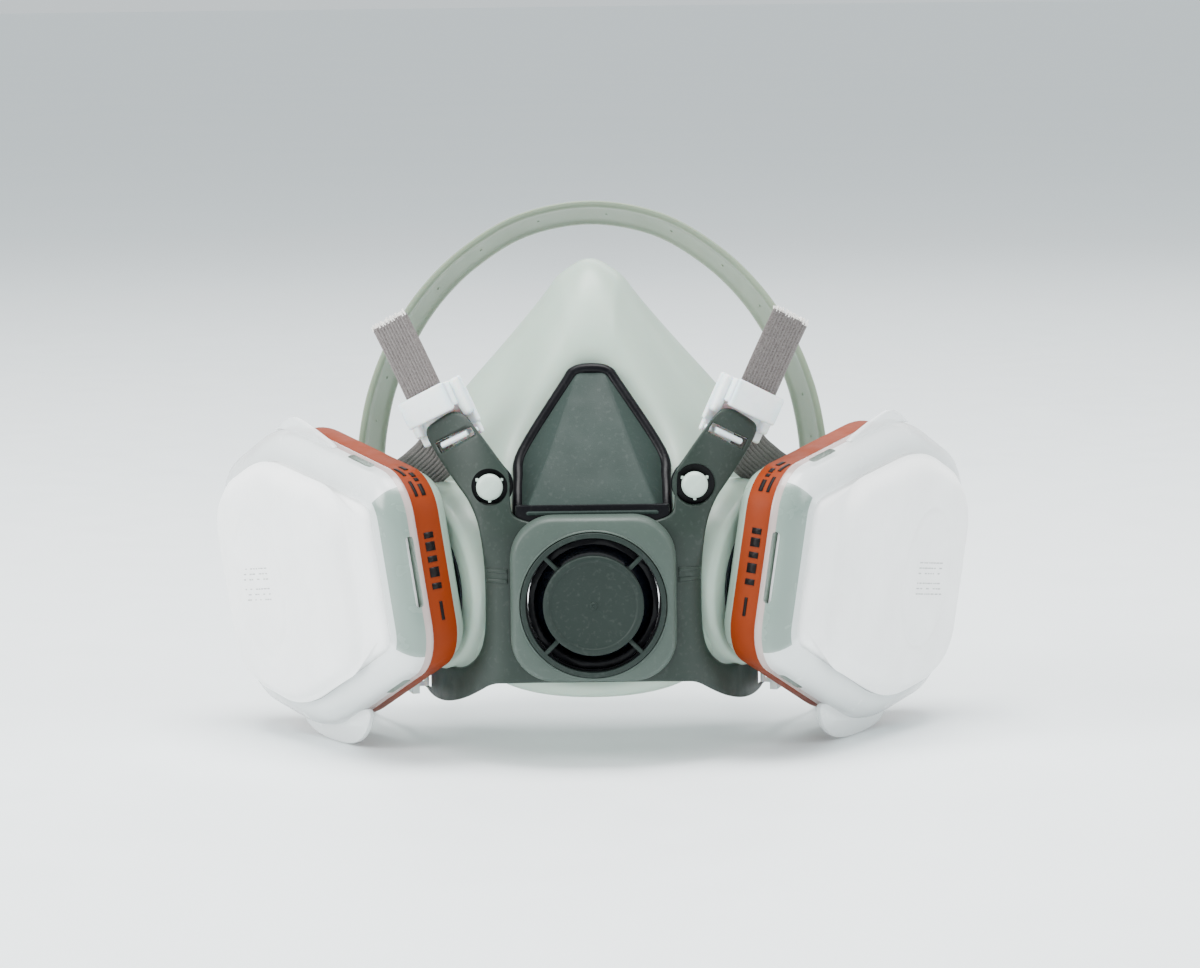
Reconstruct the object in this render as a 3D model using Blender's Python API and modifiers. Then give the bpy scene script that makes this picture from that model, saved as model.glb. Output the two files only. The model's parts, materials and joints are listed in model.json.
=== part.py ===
"""Half-mask respirator with two bayonet cartridges, straps and a head cradle.

Written in millimetres and built in metres.  +Z is up, the mask faces -Y and is
symmetric about X = 0.  Left and right are as seen from the front.
"""
import math

import bmesh
import bpy
from mathutils import Matrix, Vector

MM = 0.001
NAME = "respirator"
SIDES = (("left", -1), ("right", 1))

# ---- driving dimensions, mm ----
GAP = 0.3                      # clearance between neighbouring pieces
VALVE_Z = 44.4                 # height of the exhalation valve's axis
SEAL_WALL = 2.2
PANEL_WALL = 2.0
HOUSING_FRONT, HOUSING_BACK = 2.0, 6.0
HOUSING_HALF, HOUSING_TOP, HOUSING_BOTTOM = 21.9, 23.4, 20.7
COVER_R = 19.3
DISC_R = 13.3
VALVE_R = 15.2
YOKE_FRONT, YOKE_THICK = 7.9, 3.0
STUD_X, STUD_Z = 27.1, 75.0
WEB_WIDTH, WEB_THICK = 12.7, 1.2

PORT = (41.7, 35.0, 47.5)      # centre of the right cheek port, on the cup's surface
SWEEP = math.radians(57.0)     # port axis, turned from the facing direction
DROOP = math.radians(5.0)      # port axis, turned down
ROLL = math.radians(8.0)       # cartridge turned rear end down about the port axis
RISE = 4.5                     # cartridge's middle line above the port axis
BOSS_R = 22.5
COLLAR_R = 13.0

# Corners of the cartridge: distance along it from the port axis, half height.
CART_HALF = ((-21.8, 23.5), (36.0, 41.5), (73.0, 30.5))
CART_CORNER = 12.0
SHELL_BACK, SHELL_RIM = 5.0, 19.0       # along the port axis, from the cup
SHELL_WALL = 1.6
SKIRT_BACK, SKIRT_FRONT = 18.0, 26.4
PAD_BACK, PAD_FRONT = 19.4, 32.0


# ---- helpers ----
def mm(*values):
    return Vector(values) * MM


def clear_scene():
    for obj in list(bpy.data.objects):
        bpy.data.objects.remove(obj, do_unlink=True)


def collection(name):
    made = bpy.data.collections.new(name)
    bpy.context.scene.collection.children.link(made)
    return made


def material(name, colour, roughness, metallic=0.0):
    made = bpy.data.materials.new(name)
    made.use_nodes = True
    shader = made.node_tree.nodes["Principled BSDF"]
    shader.inputs["Base Color"].default_value = (*colour, 1.0)
    shader.inputs["Roughness"].default_value = roughness
    shader.inputs["Metallic"].default_value = metallic
    made.diffuse_color = (*colour, 1.0)
    return made


def add_object(name, mesh, finish, matrix=None, cutter=False):
    obj = bpy.data.objects.new(name, mesh)
    (CUTTERS if cutter else PARTS).objects.link(obj)
    if matrix is not None:
        obj.matrix_world = matrix
    if finish is not None:
        mesh.materials.clear()
        mesh.materials.append(finish)
    if cutter:
        obj.hide_render = True
        obj.display_type = "WIRE"
    return obj


def mesh_from(bm, name):
    bmesh.ops.recalc_face_normals(bm, faces=bm.faces)
    mesh = bpy.data.meshes.new(name)
    bm.to_mesh(mesh)
    bm.free()
    return mesh


def smooth(obj, degrees=32.0):
    obj.data.shade_smooth()
    obj.data.set_sharp_from_angle(angle=math.radians(degrees))


def frame_matrix(origin, x_axis, y_axis, z_axis):
    """World matrix whose columns are three unit axes, at an origin in mm."""
    turned = Matrix((x_axis, y_axis, z_axis)).transposed().to_4x4()
    return Matrix.Translation(mm(*origin)) @ turned


def pivot(name, origin, children):
    """Empty on a joint's axis that carries the pieces which move together."""
    empty = bpy.data.objects.new(name, None)
    PARTS.objects.link(empty)
    empty.empty_display_size = 0.01
    empty.location = mm(*origin)
    bpy.context.view_layer.update()
    for child in children:
        child.parent = empty
        child.matrix_parent_inverse = empty.matrix_world.inverted()
    return empty


def box_mesh(name, low, high):
    bm = bmesh.new()
    size = [b - a for a, b in zip(low, high)]
    middle = [(a + b) / 2 for a, b in zip(low, high)]
    bmesh.ops.create_cube(bm, size=1.0)
    bmesh.ops.scale(bm, vec=mm(*size), verts=bm.verts)
    bmesh.ops.translate(bm, vec=mm(*middle), verts=bm.verts)
    return mesh_from(bm, name)


def rod_mesh(name, radius, low, high, segments=32):
    """Cylinder along local Z from low to high."""
    bm = bmesh.new()
    bmesh.ops.create_cone(bm, cap_ends=True, segments=segments, radius1=radius * MM,
                          radius2=radius * MM, depth=(high - low) * MM)
    bmesh.ops.translate(bm, vec=mm(0, 0, (low + high) / 2), verts=bm.verts)
    return mesh_from(bm, name)


def turned(name, profile, finish, matrix, steps=32, cutter=False):
    """Profile of (radius, height) points turned about local Z, closed unless it is on the axis."""
    mesh = bpy.data.meshes.new(name)
    following = [*profile[1:], profile[0]]
    area = sum(a[0] * b[1] - b[0] * a[1] for a, b in zip(profile, following))
    if area > 0:
        profile = profile[::-1]
    points = [mm(radius, 0, height) for radius, height in profile]
    edges = [(i, i + 1) for i in range(len(points) - 1)]
    if profile[0][0] > 0:
        edges.append((len(points) - 1, 0))
    mesh.from_pydata(points, edges, [])
    obj = add_object(name, mesh, finish, matrix, cutter)
    screw = obj.modifiers.new("turn", "SCREW")
    screw.axis = "Z"
    screw.steps = steps
    screw.render_steps = steps
    screw.use_merge_vertices = True
    screw.merge_threshold = 0.00005
    return obj


def plate_mesh(name, outline, holes, low, high):
    """Flat outline with holes, filled and given depth along local Z."""
    curve = bpy.data.curves.new(name, "CURVE")
    curve.dimensions = "2D"
    curve.fill_mode = "BOTH"
    curve.extrude = (high - low) / 2 * MM
    for loop in [outline, *holes]:
        spline = curve.splines.new("POLY")
        spline.points.add(len(loop) - 1)
        for point, (x, y) in zip(spline.points, loop):
            point.co = (x * MM, y * MM, 0.0, 1.0)
        spline.use_cyclic_u = True
    holder = bpy.data.objects.new(name, curve)
    bpy.context.scene.collection.objects.link(holder)
    bpy.context.view_layer.update()
    evaluated = holder.evaluated_get(bpy.context.evaluated_depsgraph_get())
    mesh = bpy.data.meshes.new_from_object(evaluated)
    bpy.data.objects.remove(holder, do_unlink=True)
    bpy.data.curves.remove(curve)
    bm = bmesh.new()
    bm.from_mesh(mesh)
    bpy.data.meshes.remove(mesh)
    bmesh.ops.remove_doubles(bm, verts=bm.verts, dist=0.00001)
    bmesh.ops.translate(bm, vec=mm(0, 0, (low + high) / 2), verts=bm.verts)
    return mesh_from(bm, name)


def strip_mesh(name, path, widths):
    """Open ribbon along a path; widths are half-width vectors at each point."""
    bm = bmesh.new()
    rows = []
    for point, half in zip(path, widths):
        middle = Vector(point)
        reach = Vector(half)
        rows.append([bm.verts.new((middle - reach) * MM), bm.verts.new((middle + reach) * MM)])
    for row, following in zip(rows, rows[1:]):
        bm.faces.new((row[0], row[1], following[1], following[0]))
    return mesh_from(bm, name)


def loft_mesh(name, sections):
    """Skin over closed sections that all have the same number of points."""
    bm = bmesh.new()
    loops = [[bm.verts.new(mm(*point)) for point in section] for section in sections]
    for loop, following in zip(loops, loops[1:]):
        for i in range(len(loop)):
            j = (i + 1) % len(loop)
            bm.faces.new((loop[i], loop[j], following[j], following[i]))
    bm.faces.new(loops[0])
    bm.faces.new(loops[-1])
    return mesh_from(bm, name)


def combine(obj, other, operation, solver="EXACT"):
    cut = obj.modifiers.new(operation.lower(), "BOOLEAN")
    cut.operation = operation
    cut.solver = solver
    cut.object = other


def solidify(obj, thickness, offset):
    wall = obj.modifiers.new("wall", "SOLIDIFY")
    wall.thickness = thickness * MM
    wall.offset = offset
    wall.use_even_offset = True


def bevel(obj, width, segments=1, angle=40.0):
    edge = obj.modifiers.new("edge", "BEVEL")
    edge.width = width * MM
    edge.segments = segments
    edge.limit_method = "ANGLE"
    edge.angle_limit = math.radians(angle)


def circle(centre, radius, count):
    turns = [2 * math.pi * i / count for i in range(count)]
    return [(centre[0] + radius * math.cos(t), centre[1] + radius * math.sin(t)) for t in turns]


def mirrored(half):
    """Closed outline from a half that runs from the top middle to the bottom middle."""
    return half + [(-x, z) for x, z in reversed(half) if abs(x) > 0.01]


def smooth_path(points, steps):
    """Points on a Catmull-Rom curve through hand-placed points."""
    vectors = [Vector(p) for p in points]
    vectors = [2 * vectors[0] - vectors[1], *vectors, 2 * vectors[-1] - vectors[-2]]
    found = []
    for a, b, c, d in zip(vectors, vectors[1:], vectors[2:], vectors[3:]):
        for i in range(steps):
            t = i / steps
            found.append(0.5 * (2 * b + (c - a) * t + (2 * a - 5 * b + 4 * c - d) * t * t
                                + (3 * b - a - 3 * c + d) * t ** 3))
    found.append(vectors[-2])
    return found


# ---- scene and finishes ----
clear_scene()
PARTS = collection(NAME)
CUTTERS = collection(NAME + "_cutters")

SEAL = material("seal_elastomer", (0.58, 0.63, 0.56), 0.42)
PANEL = material("panel_plastic", (0.085, 0.105, 0.105), 0.38)
HOUSING = material("housing_plastic", (0.17, 0.20, 0.185), 0.42)
YOKE = material("yoke_plastic", (0.125, 0.145, 0.14), 0.45)
VALVE_BLACK = material("seat_plastic", (0.012, 0.013, 0.015), 0.3)
RUBBER = material("valve_rubber", (0.02, 0.025, 0.035), 0.25)
STUD = material("stud_plastic", (0.56, 0.62, 0.58), 0.35)
BUCKLE = material("buckle_plastic", (0.86, 0.87, 0.88), 0.3)
WEBBING = material("webbing", (0.52, 0.48, 0.46), 0.85)
CRADLE = material("cradle_plastic", (0.50, 0.51, 0.46), 0.45)
SHELL = material("cartridge_plastic", (0.62, 0.66, 0.60), 0.4)
LABEL = material("label_paper", (0.42, 0.115, 0.035), 0.5)
CARBON = material("carbon_bed", (0.02, 0.02, 0.02), 0.9)
RETAINER = material("retainer_plastic", (0.82, 0.85, 0.86), 0.15)
PAD = material("prefilter_felt", (0.85, 0.86, 0.87), 0.9)


# ---- soft cup ----
# Half rings from the nose to the chin, front to back; each row is x, y, z.
CUP_RINGS = (
    ((0, 42, 103), (4, 41, 102), (10, 37, 94), (17, 31, 83), (19.5, 21, 72), (20.5, 15.8, 55),
     (21, 15.5, 40), (14.5, 15.5, 28), (0, 15.5, 24.8)),
    ((0, 41, 108.5), (6.5, 40.5, 107), (14.5, 37, 96), (22.5, 30, 84.5), (24.5, 19.5, 73),
     (25, 13.8, 55), (25, 12.6, 38), (20, 12.2, 23.5), (0, 11.6, 20.6)),
    ((0, 46, 119), (6.5, 45.5, 116), (17, 42, 101), (26.5, 36, 87), (30, 25, 74), (31, 19, 55),
     (31, 16.5, 37), (28, 14.5, 19.5), (0, 12.6, 16.2)),
    ((0, 58, 136.5), (8, 57, 128.8), (20.5, 55, 107), (32, 51, 92), (39.5, 43, 76),
     (40.5, 37, 57), (38.5, 31, 38), (33, 25, 19.5), (0, 22, 15.2)),
    ((0, 74, 132), (10, 73, 126), (25, 73, 107), (40, 71, 91), (48.5, 68, 74), (49.5, 65, 56),
     (46, 60, 37), (35, 52, 20.5), (0, 47, 13.5)),
    ((0, 80, 126), (10.5, 80, 121), (27, 82, 104), (42, 83, 88), (50, 83, 73), (51, 82, 56),
     (46, 79, 38), (31, 73, 25), (0, 66, 18.5)),
    ((0, 76, 112), (7, 76, 109), (17, 77, 97), (31, 77, 85), (39, 77, 72), (40, 76, 56),
     (36, 73, 41), (23, 68, 31), (0, 61, 27)),
)


def port_axes(side):
    """Along the cartridge, across it and out of the cheek, as a right-handed frame.

    Local Y points up on the right and down on the left, so that both frames turn alike.
    """
    level_out = Vector((side * math.sin(SWEEP), -math.cos(SWEEP), 0))
    level_back = Vector((side * math.cos(SWEEP), math.sin(SWEEP), 0))
    up = Vector((0, 0, 1))
    out = level_out * math.cos(DROOP) - up * math.sin(DROOP)
    high = up * math.cos(DROOP) + level_out * math.sin(DROOP)
    back = level_back * math.cos(ROLL) - high * math.sin(ROLL)
    high = high * math.cos(ROLL) + level_back * math.sin(ROLL)
    return back, high * side, out


def port_matrix(side):
    return frame_matrix((side * PORT[0], PORT[1], PORT[2]), *port_axes(side))


def cart_matrix(side):
    """Frame of the port moved up to the middle line of the cartridge."""
    return port_matrix(side) @ Matrix.Translation(mm(0, side * RISE, 0))


def make_cup():
    bm = bmesh.new()
    rows = [[bm.verts.new(mm(*point)) for point in ring] for ring in CUP_RINGS]
    for row, following in zip(rows, rows[1:]):
        for i in range(len(row) - 1):
            bm.faces.new((row[i], row[i + 1], following[i + 1], following[i]))
    cup = add_object("face_seal", mesh_from(bm, "face_seal"), SEAL)
    half = cup.modifiers.new("half", "MIRROR")
    half.use_clip = True
    half.merge_threshold = 0.0001
    soft = cup.modifiers.new("soft", "SUBSURF")
    soft.levels = 1
    soft.render_levels = 1
    solidify(cup, SEAL_WALL, -1.0)
    for label, side in SIDES:
        bore = rod_mesh("port_hole_" + label, COLLAR_R + GAP, -18.0, 12.0)
        combine(cup, add_object("port_hole_" + label, bore, None, port_matrix(side), True),
                "DIFFERENCE")
    smooth(cup, 50)
    return cup


# ---- nose panel: rows of height, depth, ridge x, edge x, edge depth ----
PANEL_ROWS = (
    (102.8, 36.2, 3.2, 4.2, 36.6),
    (99.5, 33.6, 4.6, 6.8, 35.0),
    (82.4, 20.2, 11.2, 18.2, 25.8),
    (75.5, 14.8, 14.3, 19.4, 20.0),
    (67.8, 9.2, 17.6, 19.6, 13.2),
)


def make_nose_panel():
    bm = bmesh.new()
    rows = []
    for height, depth, ridge, edge, edge_depth in PANEL_ROWS:
        row = ((0, depth, height), (ridge, depth, height), (edge, edge_depth, height))
        rows.append([bm.verts.new(mm(*point)) for point in row])
    for row, following in zip(rows, rows[1:]):
        for i in range(2):
            bm.faces.new((row[i], row[i + 1], following[i + 1], following[i]))
    mesh = mesh_from(bm, "nose_panel")
    if mesh.polygons[0].normal.y > 0:
        mesh.flip_normals()
    panel = add_object("nose_panel", mesh, PANEL)
    half = panel.modifiers.new("half", "MIRROR")
    half.use_clip = True
    solidify(panel, PANEL_WALL, -1.0)
    bevel(panel, 0.5, angle=15.0)
    return panel


# ---- exhalation valve: all turned about an axis that faces -Y ----
VALVE_FRAME = frame_matrix((0, 0, VALVE_Z), (1, 0, 0), (0, 0, -1), (0, 1, 0))


def housing_outline(top_radius, bottom_radius, count):
    """Rounded square in valve coordinates, where local Y points down."""
    corners = ((1, -HOUSING_TOP, top_radius, 270), (1, HOUSING_BOTTOM, bottom_radius, 0),
               (-1, HOUSING_BOTTOM, bottom_radius, 90), (-1, -HOUSING_TOP, top_radius, 180))
    points = []
    for x_sign, edge, radius, start in corners:
        centre_x = x_sign * (HOUSING_HALF - radius)
        centre_y = math.copysign(abs(edge) - radius, edge)
        for i in range(count + 1):
            turn = math.radians(start + 90 * i / count)
            points.append((centre_x + radius * math.cos(turn), centre_y + radius * math.sin(turn)))
    return points


def make_valve_housing():
    outline = housing_outline(12.0, 11.0, 5)
    hole = circle((0, 0), COVER_R + GAP, 40)
    mesh = plate_mesh("valve_housing", outline, [hole], HOUSING_FRONT, HOUSING_BACK)
    housing = add_object("valve_housing", mesh, HOUSING, VALVE_FRAME)
    neck = turned("housing_neck", ((17.6, 4.2), (20.6, 4.2), (20.6, 5.6), (19.0, 7.4),
                                   (19.0, 13.0), (17.6, 13.0)), None, VALVE_FRAME, 40, True)
    bevel(housing, 0.6, 1, 60.0)
    combine(housing, neck, "UNION", "MANIFOLD")
    smooth(housing)
    return housing


def make_valve_seat():
    seat = turned("valve_seat", ((12.6, 11.4), (15.8, 11.4), (15.8, 5.0), (17.3, 5.0),
                                 (17.3, 13.6), (12.6, 13.6)), VALVE_BLACK, VALVE_FRAME, 32)
    for name, low, high in (("seat_bar_x", (-13.5, -0.8, 11.9), (13.5, 0.8, 13.2)),
                            ("seat_bar_y", (-0.8, -13.5, 11.9), (0.8, 13.5, 13.2))):
        bar = add_object(name, box_mesh(name, low, high), None, VALVE_FRAME, True)
        combine(seat, bar, "UNION")
    pin = add_object("seat_pin", rod_mesh("seat_pin", 1.8, 7.6, 12.6, 16), None, VALVE_FRAME, True)
    combine(seat, pin, "UNION")
    smooth(seat)
    return seat


def make_exhalation_valve():
    valve = turned("exhalation_valve", ((2.2, 9.2), (8.0, 9.6), (VALVE_R, 10.2), (VALVE_R, 11.0),
                                        (8.0, 10.5), (2.2, 10.2)), RUBBER, VALVE_FRAME, 32)
    smooth(valve)
    return valve


def make_valve_cover():
    mesh = rod_mesh("valve_cover", DISC_R, 0.3, 2.9, 40)
    cover = add_object("valve_cover", mesh, HOUSING, VALVE_FRAME)
    rim = turned("cover_rim", ((17.9, 1.2), (COVER_R, 1.2), (COVER_R, 3.8), (17.9, 3.8)), None,
                 VALVE_FRAME, 40, cutter=True)
    combine(cover, rim, "UNION")
    for number in range(2):
        mesh = box_mesh("cover_spoke", (-18.5, -0.65, 1.4), (18.5, 0.65, 3.2))
        turn = Matrix.Rotation(math.radians(45 + 90 * number), 4, "Z")
        spoke = add_object(f"cover_spoke_{number}", mesh, None, VALVE_FRAME @ turn, True)
        combine(cover, spoke, "UNION")
    smooth(cover)
    return cover


# ---- harness yoke: a flat outline swept back along its arms ----
YOKE_HALF = (
    (0, 65.2), (15, 65.2), (21.0, 67.0), (21.8, 70), (21.8, 78.6), (23.8, 81.0), (27.4, 86),
    (31.2, 90.8), (33.2, 93.2), (35.8, 94.4), (38.4, 93.6), (43.6, 89.8), (44.4, 88.2),
    (43.6, 85.8), (41.1, 82.0), (35.8, 75), (32.6, 71), (30.0, 64.7), (28.8, 55), (28.6, 45),
    (28.8, 36), (30.2, 30), (33.5, 25.8), (36.5, 24.2), (40.5, 23.6), (43.5, 24.4),
    (46.6, 24.8), (47.4, 24.0), (47.4, 16.0), (46.4, 13.8), (44, 13), (40.5, 13.6), (35.4, 16.4),
    (31, 19.6), (27.5, 22.2), (24, 22.8), (0, 22.8),
)
UPPER_SLOT = ((32.2, 90.9), (41.6, 85.6), (40.1, 83.1), (30.8, 88.5))
LOWER_SLOT = ((45.0, 14.8), (46.4, 14.8), (46.4, 23.2), (45.0, 23.2))
YOKE_HOLE_R = 19.3
FLAT_HALF = 22.0
BEND_LOW, BEND_HIGH = 0.075, 0.028
BEND_LEAN = 0.15
BEND_STEP = 3.4
BEND_FROM, BEND_TO = 50.0, 62.0


def yoke_depth(x, z):
    """How far back the front of the yoke lies at x, z."""
    share = min(max((z - BEND_FROM) / (BEND_TO - BEND_FROM), 0), 1)
    bend = BEND_LOW + (BEND_HIGH - BEND_LOW) * share
    return YOKE_FRONT + bend * max(abs(x) - FLAT_HALF, 0) ** 2 + BEND_LEAN * max(z - BEND_TO, 0)


def make_yoke():
    stud_hole = circle((STUD_X, STUD_Z), 5.4, 16)
    holes = [circle((0, VALVE_Z), YOKE_HOLE_R, 32)]
    for loop in (UPPER_SLOT, LOWER_SLOT, stud_hole):
        holes += [list(loop), [(-x, z) for x, z in loop]]
    mesh = plate_mesh("harness_yoke", mirrored(list(YOKE_HALF)), holes, 0.0, YOKE_THICK)
    bm = bmesh.new()
    bm.from_mesh(mesh)
    bmesh.ops.transform(bm, matrix=Matrix(((1, 0, 0, 0), (0, 0, 1, 0), (0, 1, 0, 0), (0, 0, 0, 1))),
                        verts=bm.verts)
    for step in range(8):
        for side in (-1, 1):
            bmesh.ops.bisect_plane(bm, geom=bm.verts[:] + bm.edges[:] + bm.faces[:], dist=1e-7,
                                   plane_co=mm(side * (FLAT_HALF + BEND_STEP * step), 0, 0),
                                   plane_no=(1, 0, 0))
    for height in (BEND_FROM, BEND_TO):
        bmesh.ops.bisect_plane(bm, geom=bm.verts[:] + bm.edges[:] + bm.faces[:], dist=1e-7,
                               plane_co=mm(0, 0, height), plane_no=(0, 0, 1))
    bmesh.ops.triangulate(bm, faces=bm.faces)
    for vert in bm.verts:
        vert.co.y += yoke_depth(vert.co.x / MM, vert.co.z / MM) * MM
    bpy.data.meshes.remove(mesh)
    yoke = add_object("harness_yoke", mesh_from(bm, "harness_yoke"), YOKE)
    smooth(yoke)
    return yoke


def make_stud(label, side):
    depth = yoke_depth(STUD_X, STUD_Z)
    profile = ((0.0, -1.6), (2.9, -1.6), (3.5, -1.0), (3.5, 3.2), (5.0, 3.9), (5.0, 5.4), (0.0, 5.4))
    stud = turned("harness_stud_" + label, profile, STUD,
                  frame_matrix((side * STUD_X, depth, STUD_Z), (1, 0, 0), (0, 0, -1), (0, 1, 0)), 24)
    smooth(stud)
    return stud


# ---- cheek ports ----
def make_port(label, side):
    place = port_matrix(side)
    port = turned("cheek_port_" + label, (
        (10.2, -10.6), (12.7, -10.6), (12.7, 1.5), (BOSS_R - 0.8, 1.5), (BOSS_R, 2.3),
        (BOSS_R - 1.2, 3.9), (12.7, 3.9), (12.7, 8.0), (10.2, 8.0)), HOUSING, place, 28)
    for number in range(2):
        turn = Matrix.Rotation(math.radians(90 * number), 4, "Z")
        name = f"port_bar_{label}_{number}"
        mesh = box_mesh(name, (-11.0, -0.8, -10.5), (11.0, 0.8, -9.0))
        combine(port, add_object(name, mesh, None, place @ turn, True), "UNION")
    name = "port_pin_" + label
    pin = add_object(name, rod_mesh(name, 1.5, -13.0, -9.4, 12), None, place, True)
    combine(port, pin, "UNION")
    smooth(port)
    return port


def make_port_gasket(label, side):
    gasket = turned("port_gasket_" + label, ((13.6, 4.2), (18.6, 4.2), (18.6, 4.7), (13.6, 4.7)),
                    RUBBER, port_matrix(side), 32)
    smooth(gasket)
    return gasket


def make_inhalation_valve(label, side):
    valve = turned("inhalation_valve_" + label, ((1.9, -12.0), (12.0, -12.0), (12.0, -11.0),
                                                 (1.9, -11.0)), RUBBER, port_matrix(side), 28)
    smooth(valve)
    return valve


# ---- cartridges: local X runs to the wide rear end, local Z out of the cheek ----
def rounded_polygon(corners, radius, count):
    points = []
    total = len(corners)
    for i, corner in enumerate(corners):
        here = Vector(corner)
        before = (Vector(corners[i - 1]) - here).normalized()
        after = (Vector(corners[(i + 1) % total]) - here).normalized()
        half_angle = before.angle(after) / 2
        centre = here + (before + after).normalized() * (radius / math.sin(half_angle))
        start = here + before * (radius / math.tan(half_angle)) - centre
        finish = here + after * (radius / math.tan(half_angle)) - centre
        sweep = start.angle(finish)
        for k in range(count + 1):
            share = k / count
            spot = (start * math.sin((1 - share) * sweep) + finish * math.sin(share * sweep))
            points.append(tuple(centre + spot / math.sin(sweep)))
    return points


def cart_corners(inset):
    """Corners of the cartridge moved inward, round from the lower front one to the upper."""
    corners = [Vector((x, -y)) for x, y in CART_HALF]
    corners += [Vector((x, y)) for x, y in reversed(CART_HALF)]
    moved = []
    for i, here in enumerate(corners):
        before = (corners[i - 1] - here).normalized()
        after = (corners[(i + 1) % len(corners)] - here).normalized()
        reach = inset / math.sin(before.angle(after) / 2)
        moved.append(here + (before + after).normalized() * reach)
    return moved


def cart_outline(inset):
    return rounded_polygon(cart_corners(inset), max(CART_CORNER - inset, 2.0), 4)


def cart_edge(x, inset):
    """Half height of the cartridge at x along it, leaving out the rounding of its corners."""
    rear, middle, front = cart_corners(inset)[3:]
    start, stop = (front, middle) if x < middle.x else (middle, rear)
    return start.y + (stop.y - start.y) * (x - start.x) / (stop.x - start.x)


def cart_section(inset, height):
    return [(x, y, height) for x, y in cart_outline(inset)]


def cart_band(name, profile):
    """Closed ring along the cartridge's outline; its profile is of insets and heights."""
    sections = [cart_section(inset, height) for inset, height in profile]
    bm = bmesh.new()
    loops = [[bm.verts.new(mm(*point)) for point in section] for section in sections]
    for k in range(len(loops)):
        loop, following = loops[k - 1], loops[k]
        for i in range(len(loop)):
            j = (i + 1) % len(loop)
            bm.faces.new((loop[i], loop[j], following[j], following[i]))
    return mesh_from(bm, name)


def make_shell(label, side):
    place = cart_matrix(side)
    name = "cartridge_shell_" + label
    sections = [cart_section(7.0, SHELL_BACK), cart_section(1.4, 8.4), cart_section(0.0, 9.2),
                cart_section(0.0, SHELL_RIM)]
    shell = add_object(name, loft_mesh(name, sections), SHELL, place)
    name = "shell_cavity_" + label
    wall = SHELL_WALL
    cavity = [cart_section(7.0 + wall, SHELL_BACK + 2.0), cart_section(1.4 + wall, 9.4),
              cart_section(wall, 10.0), cart_section(wall, SHELL_RIM + 2.0)]
    combine(shell, add_object(name, loft_mesh(name, cavity), None, place, True), "DIFFERENCE")
    name = "shell_socket_" + label
    bore = rod_mesh(name, COLLAR_R + 0.2, SHELL_BACK - 2.0, SHELL_BACK + 4.0)
    combine(shell, add_object(name, bore, None, port_matrix(side), True), "DIFFERENCE")
    smooth(shell)
    return shell


def make_bed(label, side):
    name = "carbon_bed_" + label
    sections = [cart_section(SHELL_WALL + 1.6, 10.6), cart_section(SHELL_WALL + GAP, 11.4),
                cart_section(SHELL_WALL + GAP, 16.4)]
    bed = add_object(name, loft_mesh(name, sections), CARBON, cart_matrix(side))
    smooth(bed)
    return bed


def make_grille(label, side):
    name = "bed_grille_" + label
    holes = []
    for number in range(6):
        x = CART_HALF[0][0] + 13.0 + 13.0 * number
        reach = min(cart_edge(x - 3.5, SHELL_WALL), cart_edge(x + 3.5, SHELL_WALL)) - 5.0
        holes.append(((x - 3.5, -reach), (x + 3.5, -reach), (x + 3.5, -1.5), (x - 3.5, -1.5)))
        holes.append(((x - 3.5, 1.5), (x + 3.5, 1.5), (x + 3.5, reach), (x - 3.5, reach)))
    mesh = plate_mesh(name, cart_outline(SHELL_WALL + GAP), holes, 16.8, 18.2)
    return add_object(name, mesh, SHELL, cart_matrix(side))


def make_label(label, side):
    name = "cartridge_label_" + label
    profile = ((-0.3, 9.6), (-0.8, 9.6), (-0.8, 17.4), (-0.3, 17.4))
    band = add_object(name, cart_band(name, profile), LABEL, cart_matrix(side))
    smooth(band)
    return band


LIP_INSET = 6.0
LIP_THICK = 1.2
SKIRT_IN, SKIRT_OUT = -0.4, -1.8
TAB_LOW, TAB_HIGH = 19.6, 21.4
BOTTOM_TAB = (9.0, 20.0, 46.0, 53.0)
TOP_TAB = ((1.5, 0.0), (26.0, 3.8), (32.0, 2.8), (42.0, 0.0))


def floor_height(side, x, height):
    """Distance across the cartridge, from its middle line down to Z = 0."""
    back, high, out = port_axes(side)
    return (PORT[2] + x * back.z + height * out.z) / (high.z * side) + RISE


def make_retainer(label, side):
    place = cart_matrix(side)
    name = "retainer_" + label
    under_lip = SKIRT_FRONT - LIP_THICK
    profile = ((SKIRT_IN, SKIRT_BACK), (SKIRT_OUT, SKIRT_BACK), (SKIRT_OUT, SKIRT_FRONT),
               (LIP_INSET, SKIRT_FRONT), (LIP_INSET, under_lip), (SKIRT_IN, under_lip))
    retainer = add_object(name, cart_band(name, profile), RETAINER, place)
    first, low, far, last = BOTTOM_TAB
    widest = CART_HALF[1][0]
    root = 1.0
    bottom = ((first, root - cart_edge(first, SKIRT_OUT)),
              (low, -floor_height(side, low, TAB_HIGH)),
              (far, -floor_height(side, far, TAB_HIGH)),
              (last, root - cart_edge(last, SKIRT_OUT)),
              (widest, 1.2 - cart_edge(widest, SKIRT_OUT)))
    top = [(x, cart_edge(x, SKIRT_OUT) + (rise if rise else -root)) for x, rise in TOP_TAB]
    top.append((widest, cart_edge(widest, SKIRT_OUT) - 1.2))
    for name, corners in (("bottom_tab_" + label, bottom), ("top_tab_" + label, top)):
        outline = [(x, side * y) for x, y in corners]
        mesh = plate_mesh(name, outline, [], TAB_LOW, TAB_HIGH)
        combine(retainer, add_object(name, mesh, None, place, True), "UNION")
    name = "snap_window_" + label
    front = CART_HALF[0][0]
    window = box_mesh(name, (front - 4, -9.5, 19.9), (front + 1.2, 9.5, 22.2))
    combine(retainer, add_object(name, window, None, place, True), "DIFFERENCE")
    smooth(retainer)
    return retainer


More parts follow.
